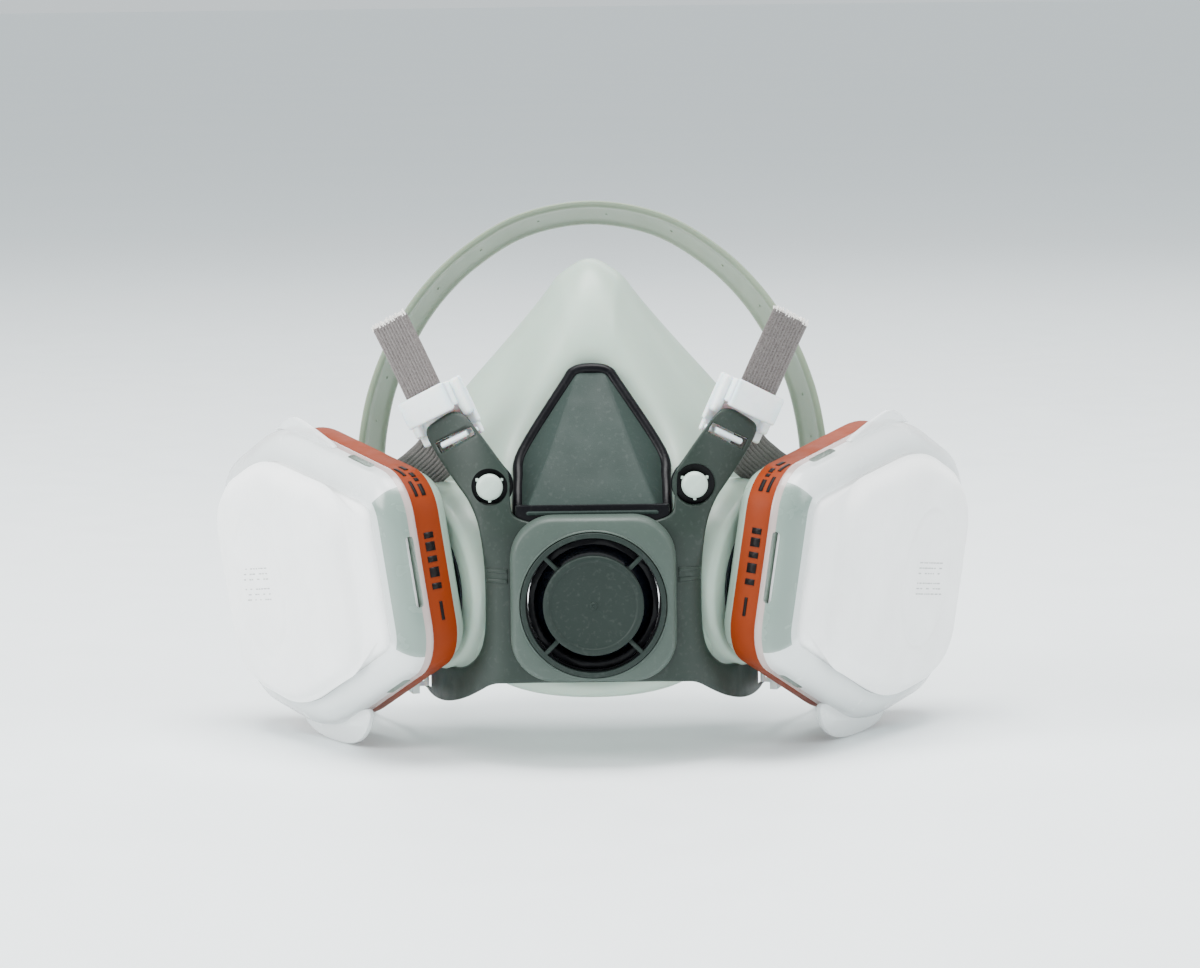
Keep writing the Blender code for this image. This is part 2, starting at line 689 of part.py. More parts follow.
def make_prefilter(label, side):
    name = "prefilter_" + label
    under_lip = SKIRT_FRONT - LIP_THICK - GAP
    sections = [cart_section(0.4, PAD_BACK), cart_section(0.2, 21.0), cart_section(0.4, 23.6),
                cart_section(1.4, under_lip), cart_section(LIP_INSET + 0.5, under_lip),
                cart_section(LIP_INSET + 1.0, 28.2), cart_section(LIP_INSET + 1.8, 30.8),
                cart_section(LIP_INSET + 4.0, PAD_FRONT)]
    pad = add_object(name, loft_mesh(name, sections), PAD, cart_matrix(side))
    smooth(pad)
    return pad


# ---- buckles and straps ----
def slot_middle(slot):
    return sum(x for x, z in slot) / 4, sum(z for x, z in slot) / 4


UPPER_X, UPPER_Z = slot_middle(UPPER_SLOT)
UPPER_Y = yoke_depth(UPPER_X, UPPER_Z) + YOKE_THICK / 2
LOWER_POINT = (46.3, 49.2, 19.0)
BUCKLE_SHIFT = 4.2             # buckle and webbing lie this far outward of the slot's middle
BUCKLE_HALF = 10.6
BUCKLE_TOP = 15.2
CHANNEL = 0.75                 # half depth of the webbing's channel
TAIL_LAYER = -1.6              # where the webbing lies in the upper buckle
TAIL_BOTTOM, TAIL_TOP = 9.0, 36.3


def upper_frame(side):
    """Frame at the upper slot: X along its bar, Y up the strap, Z to the front."""
    inner, outer = UPPER_SLOT[0], UPPER_SLOT[1]
    bar = Vector((outer[0] - inner[0], yoke_depth(*outer) - yoke_depth(*inner),
                  outer[1] - inner[1])).normalized()
    up = Vector((0.42, 0.13, 0.90))
    up = (up - bar * up.dot(bar)).normalized()
    if side > 0:
        return (UPPER_X, UPPER_Y, UPPER_Z), bar, up, bar.cross(up)
    bar = Vector((bar.x, -bar.y, -bar.z))
    up = Vector((-up.x, up.y, up.z))
    return (-UPPER_X, UPPER_Y, UPPER_Z), bar, up, bar.cross(up)


def at_frame(frame, x, y, z):
    origin, x_axis, y_axis, z_axis = frame
    return Vector(origin) + x_axis * x + y_axis * y + z_axis * z


def make_upper_buckle(label, side):
    slot = frame_matrix(*upper_frame(side))
    place = slot @ Matrix.Translation(mm(side * BUCKLE_SHIFT, 0, 0))
    name = "upper_buckle_" + label
    buckle = add_object(name, box_mesh(name, (-BUCKLE_HALF, 1.5, -6.2),
                                       (BUCKLE_HALF, BUCKLE_TOP, -4.4)), BUCKLE, place)
    frame = WEB_WIDTH / 2 + 1.6
    pieces = (("frame", place, (-frame, 8.4, -5.4), (frame, BUCKLE_TOP - 0.4, 1.0)),
              ("neck", slot, (-5.6, -1.5, -6.2), (5.6, 2.0, -4.4)),
              ("leg_a", slot, (-4.9, -0.6, -5.2), (-3.7, 0.6, 0.2)),
              ("leg_b", slot, (3.7, -0.6, -5.2), (4.9, 0.6, 0.2)))
    for part, where, low, high in pieces:
        part_name = f"upper_{part}_{label}"
        mesh = box_mesh(part_name, low, high)
        combine(buckle, add_object(part_name, mesh, None, where, True), "UNION")
    part_name = "upper_bar_" + label
    lie = Matrix.Rotation(math.radians(90), 4, "Y")
    bar = add_object(part_name, rod_mesh(part_name, 0.8, -4.7, 4.7, 12), None, slot @ lie, True)
    combine(buckle, bar, "UNION")
    part_name = "upper_channel_" + label
    reach = WEB_WIDTH / 2 + 0.4
    mesh = box_mesh(part_name, (-reach, 7.0, TAIL_LAYER - CHANNEL - 0.2),
                    (reach, BUCKLE_TOP + 2, TAIL_LAYER + CHANNEL + 0.2))
    combine(buckle, add_object(part_name, mesh, None, place, True), "DIFFERENCE")
    return buckle


def make_tail(label, side):
    name = "strap_tail_" + label
    half = WEB_WIDTH / 2
    mesh = box_mesh(name, (-half, TAIL_BOTTOM, TAIL_LAYER - WEB_THICK / 2),
                    (half, TAIL_TOP, TAIL_LAYER + WEB_THICK / 2))
    place = frame_matrix(*upper_frame(side)) @ Matrix.Translation(mm(side * BUCKLE_SHIFT, 0, 0))
    return add_object(name, mesh, WEBBING, place)


# Half band of the head cradle, from its right end to the crown: x, y, z of the front edge.
CRADLE_PATH = ((65.5, 88.0, 57.0), (66.6, 90.0, 69.0), (65.6, 91.5, 81.0), (62.9, 94.5, 93.5),
               (57.6, 98.0, 106.5), (49.0, 103.0, 119.8), (37.0, 108.0, 131.4),
               (20.5, 112.2, 140.9), (0.0, 114.0, 144.5))
CRADLE_CENTRE = (0.0, 80.0)    # x and z that the band faces
CRADLE_IN, CRADLE_BACK = 6.5, 11.0
CRADLE_WALL = 1.6


def cradle_edges():
    other_half = [(-x, y, z) for x, y, z in reversed(CRADLE_PATH[:-1])]
    path = smooth_path((*CRADLE_PATH, *other_half), 4)
    rear = []
    for point in path:
        inward = Vector((CRADLE_CENTRE[0] - point.x, 0, min(CRADLE_CENTRE[1] - point.z, 0)))
        rear.append(point + inward.normalized() * CRADLE_IN + Vector((0, CRADLE_BACK, 0)))
    return path, rear


def make_cradle():
    front, rear = cradle_edges()
    middle = [(a + b) / 2 for a, b in zip(front, rear)]
    half = [(b - a) / 2 for a, b in zip(front, rear)]
    band = add_object("head_cradle", strip_mesh("head_cradle", middle, half), CRADLE)
    solidify(band, CRADLE_WALL, 0.0)
    smooth(band, 60)
    return band


def webbing_mesh(name, path, first, last, half, turn_from):
    """Strap along a path: its width starts along first and turns to last after a share of it."""
    across = Vector(first)
    widths = []
    for i in range(len(path)):
        share = max(i / (len(path) - 1) - turn_from, 0) / (1 - turn_from)
        share = share * share * (3 - 2 * share)
        tangent = (path[min(i + 1, len(path) - 1)] - path[max(i - 1, 0)]).normalized()
        across = (across - tangent * across.dot(tangent)).normalized()
        level = across * (1 - share) + Vector(last) * share
        level = (level - tangent * level.dot(tangent)).normalized()
        widths.append(level * half)
    return strip_mesh(name, path, widths)


def make_upper_strap(label, side):
    """Live webbing from the back of the upper buckle to the cradle's lower end."""
    frame = upper_frame(side)
    path = smooth_path((at_frame(frame, side * BUCKLE_SHIFT, 8.0, -7.9), (side * 41.0, 34.0, 82.5),
                        (side * 46.2, 45.0, 76.0), (side * 51.2, 56.0, 71.5),
                        (side * 55.5, 68.0, 67.5), (side * 58.8, 80.0, 64.5),
                        (side * 60.0, 92.5, 62.0)), 4)
    name = "upper_strap_" + label
    mesh = webbing_mesh(name, path, frame[1] * side, (0, 0, -1), WEB_WIDTH / 2, 0.55)
    strap = add_object(name, mesh, WEBBING)
    solidify(strap, WEB_THICK, 0.0)
    smooth(strap)
    return strap


NECK_WEB = 8.0


def lower_frame(side):
    """Frame at the lower slot: X along its bar, Y back along the arm, Z outward on the right."""
    back = Vector((side * 0.268, 0.963, 0)).normalized()
    bar = Vector((0, 0, -side))
    return (side * LOWER_POINT[0], LOWER_POINT[1], LOWER_POINT[2]), bar, back, bar.cross(back)


def make_lower_buckle(label, side):
    place = frame_matrix(*lower_frame(side))
    name = "lower_buckle_" + label
    half = NECK_WEB / 2 + 1.4
    buckle = add_object(name, box_mesh(name, (-half, -2.0, 2.4), (half, 13.0, 4.4)), BUCKLE, place)
    pieces = (("leg_a", (-3.6, -0.6, -0.4), (-2.4, 0.6, 3.0)),
              ("leg_b", (2.4, -0.6, -0.4), (3.6, 0.6, 3.0)))
    for part, low, high in pieces:
        part_name = f"lower_{part}_{label}"
        mesh = box_mesh(part_name, low, high)
        combine(buckle, add_object(part_name, mesh, None, place, True), "UNION")
    part_name = "lower_bar_" + label
    lie = Matrix.Rotation(math.radians(90), 4, "Y")
    bar = add_object(part_name, rod_mesh(part_name, 0.7, -3.4, 3.4, 12), None, place @ lie, True)
    combine(buckle, bar, "UNION")
    part_name = "lower_channel_" + label
    reach = NECK_WEB / 2
    cut = box_mesh(part_name, (-reach, 4.0, 1.0), (reach, 6.0, 6.0))
    combine(buckle, add_object(part_name, cut, None, place, True), "DIFFERENCE")
    return buckle


def make_neck_strap(label, side):
    """Webbing from the lower buckle, down behind the cartridge and along the floor."""
    frame = lower_frame(side)
    start = at_frame(frame, 0, 14.4, 3.4)
    path = smooth_path((start, (side * 58.0, 74.0, 15.5), (side * 63.0, 87.0, 8.5),
                        (side * 66.5, 99.0, 3.6), (side * 68.5, 110.0, 1.7),
                        (side * 70.0, 121.0, 1.4)), 4)
    name = "neck_strap_" + label
    mesh = webbing_mesh(name, path, (0, 0, 1), (side * 0.98, -0.2, 0), NECK_WEB / 2, 0.2)
    strap = add_object(name, mesh, WEBBING)
    solidify(strap, WEB_THICK, 0.0)
    smooth(strap)
    return strap


CLASP_Y = 122.6
CLASP_LONG, CLASP_WIDE, CLASP_THICK = 15.0, 13.0, 2.6


def make_clasp(name, side, slotted):
    """Half of the neck clasp, lying flat behind its strap: a loop or a hook."""
    middle = side * 70.6
    half = CLASP_WIDE / 2
    outline = rounded_polygon(((middle - half, CLASP_Y), (middle + half, CLASP_Y),
                               (middle + half, CLASP_Y + CLASP_LONG),
                               (middle - half, CLASP_Y + CLASP_LONG)), 2.5, 3)
    inner = half - 2.4
    near, far = CLASP_Y + 6.0, CLASP_Y + CLASP_LONG - 2.4
    if slotted:
        hole = ((middle - inner, near), (middle + inner, near), (middle + inner, far),
                (middle - inner, far))
        return add_object(name, plate_mesh(name, outline, [hole], 0.0, CLASP_THICK), BUCKLE)
    hooked = ((middle - half - 1, near), (middle + inner, near), (middle + inner, far),
              (middle - half + 2.2, far), (middle - half + 2.2, near + 2.4), (middle - half - 1, near + 2.4))
    clasp = add_object(name, plate_mesh(name, outline, [], 0.0, CLASP_THICK), BUCKLE)
    cut = add_object("hook_gap", plate_mesh("hook_gap", hooked, [], -1.0, CLASP_THICK + 1), None,
                     None, True)
    combine(clasp, cut, "DIFFERENCE")
    return clasp


# ---- assembly ----
HARNESS_POINT = (0.0, 26.0, 97.0)
MIDDLE_Y = 68.6                # puts the origin under the middle of the whole object


def build():
    make_cup()
    make_nose_panel()
    make_valve_housing()
    make_valve_seat()
    make_yoke()
    pivot("valve_axis", (0, 10, VALVE_Z), [make_exhalation_valve()])
    pivot("cover_axis", (0, 0, VALVE_Z), [make_valve_cover()])
    harness = [make_cradle()]
    for label, side in SIDES:
        port_point = (side * PORT[0], PORT[1], PORT[2])
        make_stud(label, side)
        make_port(label, side)
        make_port_gasket(label, side)
        pivot("inhalation_axis_" + label, port_point, [make_inhalation_valve(label, side)])
        cover = pivot("retainer_axis_" + label, port_point,
                      [make_retainer(label, side), make_prefilter(label, side)])
        pivot("cartridge_axis_" + label, port_point,
              [make_shell(label, side), make_bed(label, side), make_grille(label, side),
               make_label(label, side), cover])
        slot_point = (side * UPPER_X, UPPER_Y, UPPER_Z)
        tail = pivot("tail_axis_" + label, slot_point, [make_tail(label, side)])
        pivot("upper_buckle_axis_" + label, slot_point, [make_upper_buckle(label, side), tail])
        harness.append(make_upper_strap(label, side))
        clasp = make_clasp("clasp_loop" if side > 0 else "clasp_hook", side, side > 0)
        pivot("lower_buckle_axis_" + label, (side * LOWER_POINT[0], *LOWER_POINT[1:]),
              [make_lower_buckle(label, side), make_neck_strap(label, side), clasp])
    pivot("harness_axis", HARNESS_POINT, harness)
    base = bpy.data.objects.new("base", None)
    loose = [obj for obj in [*PARTS.objects, *CUTTERS.objects] if obj.parent is None]
    PARTS.objects.link(base)
    for obj in loose:
        obj.parent = base
    base.location = mm(0, -MIDDLE_Y, 0)


build()
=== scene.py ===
"""Looks of a half-mask respirator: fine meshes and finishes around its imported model."""
import json
import math
import random

import bmesh
import bpy
from mathutils import Matrix, Vector, noise

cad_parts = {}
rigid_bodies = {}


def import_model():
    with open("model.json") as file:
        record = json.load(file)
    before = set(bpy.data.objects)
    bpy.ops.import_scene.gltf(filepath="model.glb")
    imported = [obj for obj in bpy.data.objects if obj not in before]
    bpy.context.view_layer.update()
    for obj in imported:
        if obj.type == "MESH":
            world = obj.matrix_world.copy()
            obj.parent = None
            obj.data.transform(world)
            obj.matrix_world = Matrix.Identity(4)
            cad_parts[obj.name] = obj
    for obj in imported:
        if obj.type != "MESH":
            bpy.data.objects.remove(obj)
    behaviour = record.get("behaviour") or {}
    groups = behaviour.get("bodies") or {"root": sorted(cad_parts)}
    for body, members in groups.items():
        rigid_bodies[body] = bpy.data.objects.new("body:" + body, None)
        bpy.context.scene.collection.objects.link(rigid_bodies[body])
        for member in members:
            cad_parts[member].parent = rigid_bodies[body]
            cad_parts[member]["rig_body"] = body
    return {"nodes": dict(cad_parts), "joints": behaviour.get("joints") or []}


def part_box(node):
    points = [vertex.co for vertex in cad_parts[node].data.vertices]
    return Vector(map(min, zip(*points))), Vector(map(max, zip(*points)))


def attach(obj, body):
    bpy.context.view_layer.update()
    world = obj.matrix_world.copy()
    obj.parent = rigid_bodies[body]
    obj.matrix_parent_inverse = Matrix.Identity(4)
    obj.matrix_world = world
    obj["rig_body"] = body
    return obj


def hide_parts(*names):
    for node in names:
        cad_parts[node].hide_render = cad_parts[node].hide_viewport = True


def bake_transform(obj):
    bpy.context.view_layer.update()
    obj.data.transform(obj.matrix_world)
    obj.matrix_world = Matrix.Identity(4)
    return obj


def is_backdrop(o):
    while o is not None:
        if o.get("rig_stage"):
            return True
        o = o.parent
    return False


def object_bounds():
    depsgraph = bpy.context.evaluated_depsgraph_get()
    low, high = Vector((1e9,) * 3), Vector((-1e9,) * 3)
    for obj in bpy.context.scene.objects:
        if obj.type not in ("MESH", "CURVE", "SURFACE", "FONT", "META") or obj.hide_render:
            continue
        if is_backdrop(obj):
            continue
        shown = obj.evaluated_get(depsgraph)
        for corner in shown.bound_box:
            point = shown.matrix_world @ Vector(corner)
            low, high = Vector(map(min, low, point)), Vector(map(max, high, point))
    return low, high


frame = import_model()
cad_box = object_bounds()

MM = 0.001
SIDES = (("left", -1), ("right", 1))
NODES = frame["nodes"]
JOINTS = {joint["name"]: joint for joint in frame["joints"]}
RNG = random.Random(7)


# ---- places read from the frame ----
COVER_LOW, COVER_HIGH = (Vector(corner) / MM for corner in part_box("valve_cover"))
FRONT_Y = COVER_LOW.y - 0.3                  # the plane that the model's depths start from
VALVE_Z = (COVER_LOW.z + COVER_HIGH.z) / 2


def place(x, y, z):
    """Point in the model's own millimetres, with depth counted from its front plane."""
    return Vector((x, y + FRONT_Y, z)) * MM


def axes_matrix(origin, x_axis, y_axis, z_axis):
    turned = Matrix((x_axis, y_axis, z_axis)).transposed().to_4x4()
    return Matrix.Translation(origin) @ turned @ Matrix.Scale(MM, 4)


CART_ROLL = math.radians(8.0)                # rear end of the cartridge turned down
CART_RISE = 4.5                              # its middle line above the port axis
ARM_LEAN = 0.268 / 0.963                     # outward run of a lower arm's end to its run back


def port_matrix(side, label):
    """Local millimetres of a port: X to the cartridge's rear end, Z out of the cheek."""
    joint = JOINTS["cartridge_twist_" + label]
    out = Vector(joint["axis"]).normalized() * side
    high = (Vector((0, 0, 1)) - out * out.z).normalized()
    back = (high * side).cross(out)
    rolled_back = back * math.cos(CART_ROLL) - high * math.sin(CART_ROLL)
    rolled_high = high * math.cos(CART_ROLL) + back * math.sin(CART_ROLL)
    return axes_matrix(Vector(joint["pos_m"]), rolled_back, rolled_high * side, out)


def cart_matrix(side, label):
    """Port's frame moved up to the middle line of the cartridge."""
    return port_matrix(side, label) @ Matrix.Translation((0, side * CART_RISE, 0))


def buckle_matrix(label):
    """Local millimetres at an upper slot: X along the bar, Y up the strap, Z to the front."""
    joint = JOINTS["upper_buckle_tilt_" + label]
    bar = Vector(joint["axis"]).normalized()
    up = Vector(JOINTS["strap_tail_pull_" + label]["axis"]).normalized()
    return axes_matrix(Vector(joint["pos_m"]), bar, up, bar.cross(up))


def lower_matrix(side, label):
    """Local millimetres at a lower slot: X along the bar, Y back along the arm."""
    joint = JOINTS["neck_strap_swing_" + label]
    back = Vector((side * ARM_LEAN, 1, 0)).normalized()
    bar = Vector((0, 0, -side))
    return axes_matrix(Vector(joint["pos_m"]), bar, back, bar.cross(back))


def front_matrix(x, y, z):
    """Local millimetres at a point of the front: Z runs back into the mask, Y points down."""
    return axes_matrix(place(x, y, z), Vector((1, 0, 0)), Vector((0, 0, -1)), Vector((0, 1, 0)))


VALVE_FRAME = front_matrix(0, 0, VALVE_Z)


# ---- finishes ----
def link(tree, start, end):
    tree.links.new(start, end)


def node(tree, kind, **values):
    made = tree.nodes.new(kind)
    for key, value in values.items():
        if key in made.inputs:
            made.inputs[key].default_value = value
        else:
            setattr(made, key, value)
    return made


def object_noise(tree, scale, detail=3.0, stretch=(1.0, 1.0, 1.0), turn=(0.0, 0.0, 0.0)):
    coords = node(tree, "ShaderNodeTexCoord")
    mapping = node(tree, "ShaderNodeMapping", Scale=stretch, Rotation=turn)
    link(tree, coords.outputs["Object"], mapping.inputs["Vector"])
    made = node(tree, "ShaderNodeTexNoise", Scale=scale, Detail=detail)
    link(tree, mapping.outputs["Vector"], made.inputs["Vector"])
    return made.outputs["Fac"]


def ranged(tree, value, low, high, from_low=0.3, from_high=0.7):
    made = node(tree, "ShaderNodeMapRange")
    made.inputs["From Min"].default_value = from_low
    made.inputs["From Max"].default_value = from_high
    made.inputs["To Min"].default_value = low
    made.inputs["To Max"].default_value = high
    link(tree, value, made.inputs["Value"])
    return made.outputs["Result"]


def blended(tree, share, first, second):
    """Mix of two colours; either may be a fixed colour or a socket."""
    made = node(tree, "ShaderNodeMix", data_type="RGBA")
    link(tree, share, made.inputs[0])
    for socket, value in ((6, first), (7, second)):
        if isinstance(value, tuple):
            made.inputs[socket].default_value = (*value, 1.0)
        else:
            link(tree, value, made.inputs[socket])
    return made.outputs[2]


def bumped(tree, height, strength, distance, below=None):
    made = node(tree, "ShaderNodeBump", Strength=strength, Distance=distance)
    link(tree, height, made.inputs["Height"])
    if below is not None:
        link(tree, below, made.inputs["Normal"])
    return made.outputs["Normal"]


def tinted(colour, factor):
    return tuple(min(c * factor, 1.0) for c in colour)


def new_finish(name, **values):
    """New material with its node tree and shader; values are fixed settings of the shader."""
    made = bpy.data.materials.new(name)
    made.use_nodes = True
    shader = made.node_tree.nodes["Principled BSDF"]
    for key, value in values.items():
        shader.inputs[key.replace("_", " ")].default_value = value
    return made, made.node_tree, shader


def connect(tree, shader, tone, roughness, normal=None):
    link(tree, tone, shader.inputs["Base Color"])
    link(tree, roughness, shader.inputs["Roughness"])
    if normal is not None:
        link(tree, normal, shader.inputs["Normal"])


# Scales of the noise textures, as features to the metre.
FLOW, RIPPLE, SMEAR, SPECKS = 55.0, 120.0, 170.0, 900.0
CLOUD, FIBRE, HAIR, GRANULE = 70.0, 1900.0, 2600.0, 1100.0
GLOSS_SPREAD = 0.06
WORN_AND_LIT_EDGES = 1.7                                   # how much lighter edges are: rubbed wear and painted highlight on convex edges
DUST_COLOUR = (0.50, 0.50, 0.48)
LINT_COLOUR = (0.60, 0.57, 0.54)
FIBRE_TURNS = ((0.2, 0.9, 0.0), (1.1, 0.1, 0.8), (0.6, 2.0, 1.9))


def moulded(name, colour, roughness, grain, grain_scale, mottle, dust, edge_wear_and_highlight=0.12,
            **shader_values):
    """Moulded plastic or rubber: fine grain, faint flow mottling, dust, and edges lightened as
    rubbed wear and painted highlight.
    """
    made, tree, shader = new_finish(name, **shader_values)
    flow = object_noise(tree, FLOW, 4.0, (1.0, 1.6, 0.7))
    tone = blended(tree, ranged(tree, flow, 0.0, 1.0), tinted(colour, 1 - mottle),
                   tinted(colour, 1 + mottle))
    specks = object_noise(tree, SPECKS, 5.0)
    tone = blended(tree, ranged(tree, specks, 0.0, dust, 0.56, 0.72), tone, DUST_COLOUR)
    geometry = node(tree, "ShaderNodeNewGeometry")
    # convex edges lightened: partly rubbed wear, partly painted highlight
    edge = ranged(tree, geometry.outputs["Pointiness"], 0.0, edge_wear_and_highlight, 0.51, 0.58)
    tone = blended(tree, edge, tone, tinted(colour, WORN_AND_LIT_EDGES))
    gloss = ranged(tree, object_noise(tree, SMEAR), roughness - GLOSS_SPREAD,
                   roughness + GLOSS_SPREAD)
    normal = bumped(tree, object_noise(tree, RIPPLE, 2.0), 0.06, 0.0006)
    normal = bumped(tree, object_noise(tree, grain_scale, 2.0), grain, 0.00012, normal)
    connect(tree, shader, tone, gloss, normal)
    return made


def felt(name, colour):
    """Nonwoven felt: matted fibres in several directions."""
    made, tree, shader = new_finish(name, Sheen_Weight=0.25, Sheen_Roughness=0.6,
                                    Subsurface_Weight=0.12, Subsurface_Scale=0.5,
                                    Subsurface_Radius=(0.004, 0.004, 0.004))
    cloud = object_noise(tree, CLOUD, 5.0)
    tone = blended(tree, ranged(tree, cloud, 0.0, 1.0), tinted(colour, 0.95), tinted(colour, 1.02))
    normal = None
    for turn in FIBRE_TURNS:
        fibre = object_noise(tree, FIBRE, 3.0, (1.0, 0.09, 0.09), turn)
        normal = bumped(tree, fibre, 0.16, 0.00016, normal)
        tone = blended(tree, ranged(tree, fibre, 0.0, 0.10, 0.52, 0.75), tone,
                       tinted(colour, 0.80))
    connect(tree, shader, tone, ranged(tree, cloud, 0.82, 0.95), normal)
    return made


def knit(name, light, dark, ribs):
    """Ribbed elastic webbing with painted shade in the grooves between its ribs; UV runs 0 to 1
    across it and in strap widths along it.
    """
    made, tree, shader = new_finish(name, Sheen_Weight=0.3, Sheen_Roughness=0.5)
    coords = node(tree, "ShaderNodeUVMap", uv_map="UVMap")
    rib = node(tree, "ShaderNodeTexWave", wave_type="BANDS", bands_direction="X",
               wave_profile="SIN", Scale=ribs * math.tau / 20.0, Distortion=0.0)
    link(tree, coords.outputs["UV"], rib.inputs["Vector"])
    pick = node(tree, "ShaderNodeTexWave", wave_type="BANDS", bands_direction="Y",
                wave_profile="SIN", Scale=6.5, Distortion=2.2, Detail=2.0)
    pick.inputs["Detail Scale"].default_value = 6.0
    link(tree, coords.outputs["UV"], pick.inputs["Vector"])
    hair = object_noise(tree, HAIR)
    # low parts between the ribs take the dark colour: painted shade in the grooves
    tone = blended(tree, ranged(tree, rib.outputs["Fac"], 0.0, 1.0, 0.15, 0.75), dark, light)
    tone = blended(tree, ranged(tree, pick.outputs["Fac"], 0.0, 0.30, 0.2, 0.9), tone, dark)
    tone = blended(tree, ranged(tree, hair, 0.0, 0.20), tone, LINT_COLOUR)
    normal = bumped(tree, rib.outputs["Fac"], 0.5, 0.0003)
    normal = bumped(tree, pick.outputs["Fac"], 0.35, 0.00015, normal)
    normal = bumped(tree, hair, 0.3, 0.00012, normal)
    connect(tree, shader, tone, ranged(tree, hair, 0.75, 0.95), normal)
    return made


def granules(name):
    """Packed black grains, painted darker toward their edges as shade in the gaps between them."""
    made, tree, shader = new_finish(name)
    coords = node(tree, "ShaderNodeTexCoord")
    cells = node(tree, "ShaderNodeTexVoronoi", Scale=GRANULE)
    link(tree, coords.outputs["Object"], cells.inputs["Vector"])
    # darker away from each grain's middle: painted shade between the grains
    tone = blended(tree, ranged(tree, cells.outputs["Distance"], 0.0, 1.0, 0.0, 0.6),
                   (0.05, 0.05, 0.052), (0.006, 0.006, 0.007))
    connect(tree, shader, tone, ranged(tree, object_noise(tree, 1500.0), 0.45, 0.85),
            bumped(tree, cells.outputs["Distance"], -0.9, 0.0006))
    return made


SEAL = moulded("seal_elastomer", (0.340, 0.430, 0.360), 0.36, 0.10, 2600.0, 0.05, 0.03,
               Subsurface_Weight=0.10, Subsurface_Scale=0.003)
PANEL = moulded("panel_plastic", (0.018, 0.029, 0.025), 0.52, 0.22, 3800.0, 0.08, 0.02,
                Specular_IOR_Level=0.14)
# Same dark plastic as the yoke, painted lighter and greener as light falling on the valve housing
# and cheek ports.
HOUSING_LIT = moulded("housing_plastic", (0.042, 0.060, 0.050), 0.48, 0.16, 3000.0, 0.07, 0.02,
                  Specular_IOR_Level=0.30)
COVER = moulded("cover_plastic", (0.012, 0.019, 0.016), 0.50, 0.20, 3400.0, 0.07, 0.02,
                Specular_IOR_Level=0.16)
YOKE = moulded("yoke_plastic", (0.014, 0.023, 0.018), 0.44, 0.14, 3000.0, 0.08, 0.02,
               Specular_IOR_Level=0.26)
# Near-black plastic: the valve seat's own colour, also used as painted shade round the nose panel,
# in the housing's recess, under the panel and in the stud holes.
BLACK = moulded("seat_plastic", (0.002, 0.002, 0.003), 0.34, 0.08, 2800.0, 0.10, 0.01, edge_wear_and_highlight=0.02,
                Specular_IOR_Level=0.12)
RUBBER = moulded("valve_rubber", (0.003, 0.005, 0.010), 0.16, 0.05, 1800.0, 0.10, 0.01,
                 edge_wear_and_highlight=0.02, Coat_Weight=0.3, Coat_Roughness=0.12)
STUD = moulded("stud_plastic", (0.38, 0.47, 0.41), 0.34, 0.10, 2600.0, 0.04, 0.02)
BUCKLE = moulded("buckle_plastic", (0.84, 0.86, 0.86), 0.28, 0.07, 1500.0, 0.02, 0.0, edge_wear_and_highlight=0.0,
                 Subsurface_Weight=0.35, Subsurface_Scale=0.004)
CRADLE = moulded("cradle_plastic", (0.180, 0.225, 0.160), 0.42, 0.12, 2600.0, 0.05, 0.03,
                 Subsurface_Weight=0.08, Subsurface_Scale=0.002)
SHELL = moulded("cartridge_plastic", (0.27, 0.35, 0.29), 0.33, 0.08, 2400.0, 0.04, 0.02)
LABEL = moulded("label_paper", (0.180, 0.022, 0.001), 0.50, 0.08, 1400.0, 0.06, 0.0, edge_wear_and_highlight=0.0,
                Specular_IOR_Level=0.12)
MARKS = moulded("label_marks", (0.006, 0.004, 0.004), 0.5, 0.05, 1400.0, 0.10, 0.0, edge_wear_and_highlight=0.0,
                Specular_IOR_Level=0.15)
CARBON = granules("carbon_bed")
# Darker green copy of the retainer plastic for its front wall: shell seen through and painted
# shade; CLEAR_LIP is the pale copy.
CLEAR = moulded("retainer_plastic", (0.19, 0.26, 0.225), 0.24, 0.05, 900.0, 0.02, 0.0, edge_wear_and_highlight=0.0,
                Alpha=0.78, Coat_Weight=0.3, Coat_Roughness=0.12)
CLEAR_RIM = moulded("retainer_rim", (0.50, 0.40, 0.38), 0.20, 0.05, 900.0, 0.02, 0.0, edge_wear_and_highlight=0.0,
                    Alpha=0.60, Coat_Weight=0.4, Coat_Roughness=0.08)
CLEAR_LIP = moulded("retainer_lip", (0.86, 0.90, 0.90), 0.22, 0.05, 900.0, 0.02, 0.0, edge_wear_and_highlight=0.0,
                    Alpha=0.55, Coat_Weight=0.3, Coat_Roughness=0.12)
PAD = felt("prefilter_felt", (0.93, 0.94, 0.935))
PRINT = moulded("pad_print", (0.42, 0.43, 0.43), 0.8, 0.10, 1800.0, 0.08, 0.0, edge_wear_and_highlight=0.0)
WEBBING = knit("webbing", (0.42, 0.385, 0.365), (0.050, 0.036, 0.035), 12)
THREAD = moulded("webbing_thread", (0.80, 0.77, 0.73), 0.8, 0.3, 2200.0, 0.08, 0.0, edge_wear_and_highlight=0.0)


# ---- mesh helpers ----
def add_object(name, data):
    obj = bpy.data.objects.new(name, data)
    bpy.context.scene.collection.objects.link(obj)
    return obj


def mesh_object(name, bm, finishes=()):
    """Object made from a bmesh, which is used up."""
    mesh = bpy.data.meshes.new(name)
    bm.to_mesh(mesh)
    bm.free()
    for material in finishes:
        mesh.materials.append(material)
    return add_object(name, mesh)


def add_part(bm, part, matrix):
    """Moves a bmesh and adds it to another one; it is used up."""
    bmesh.ops.transform(part, matrix=matrix, verts=part.verts)
    mesh = bpy.data.meshes.new("part")
    part.to_mesh(mesh)
    part.free()
    bm.from_mesh(mesh)
    bpy.data.meshes.remove(mesh)


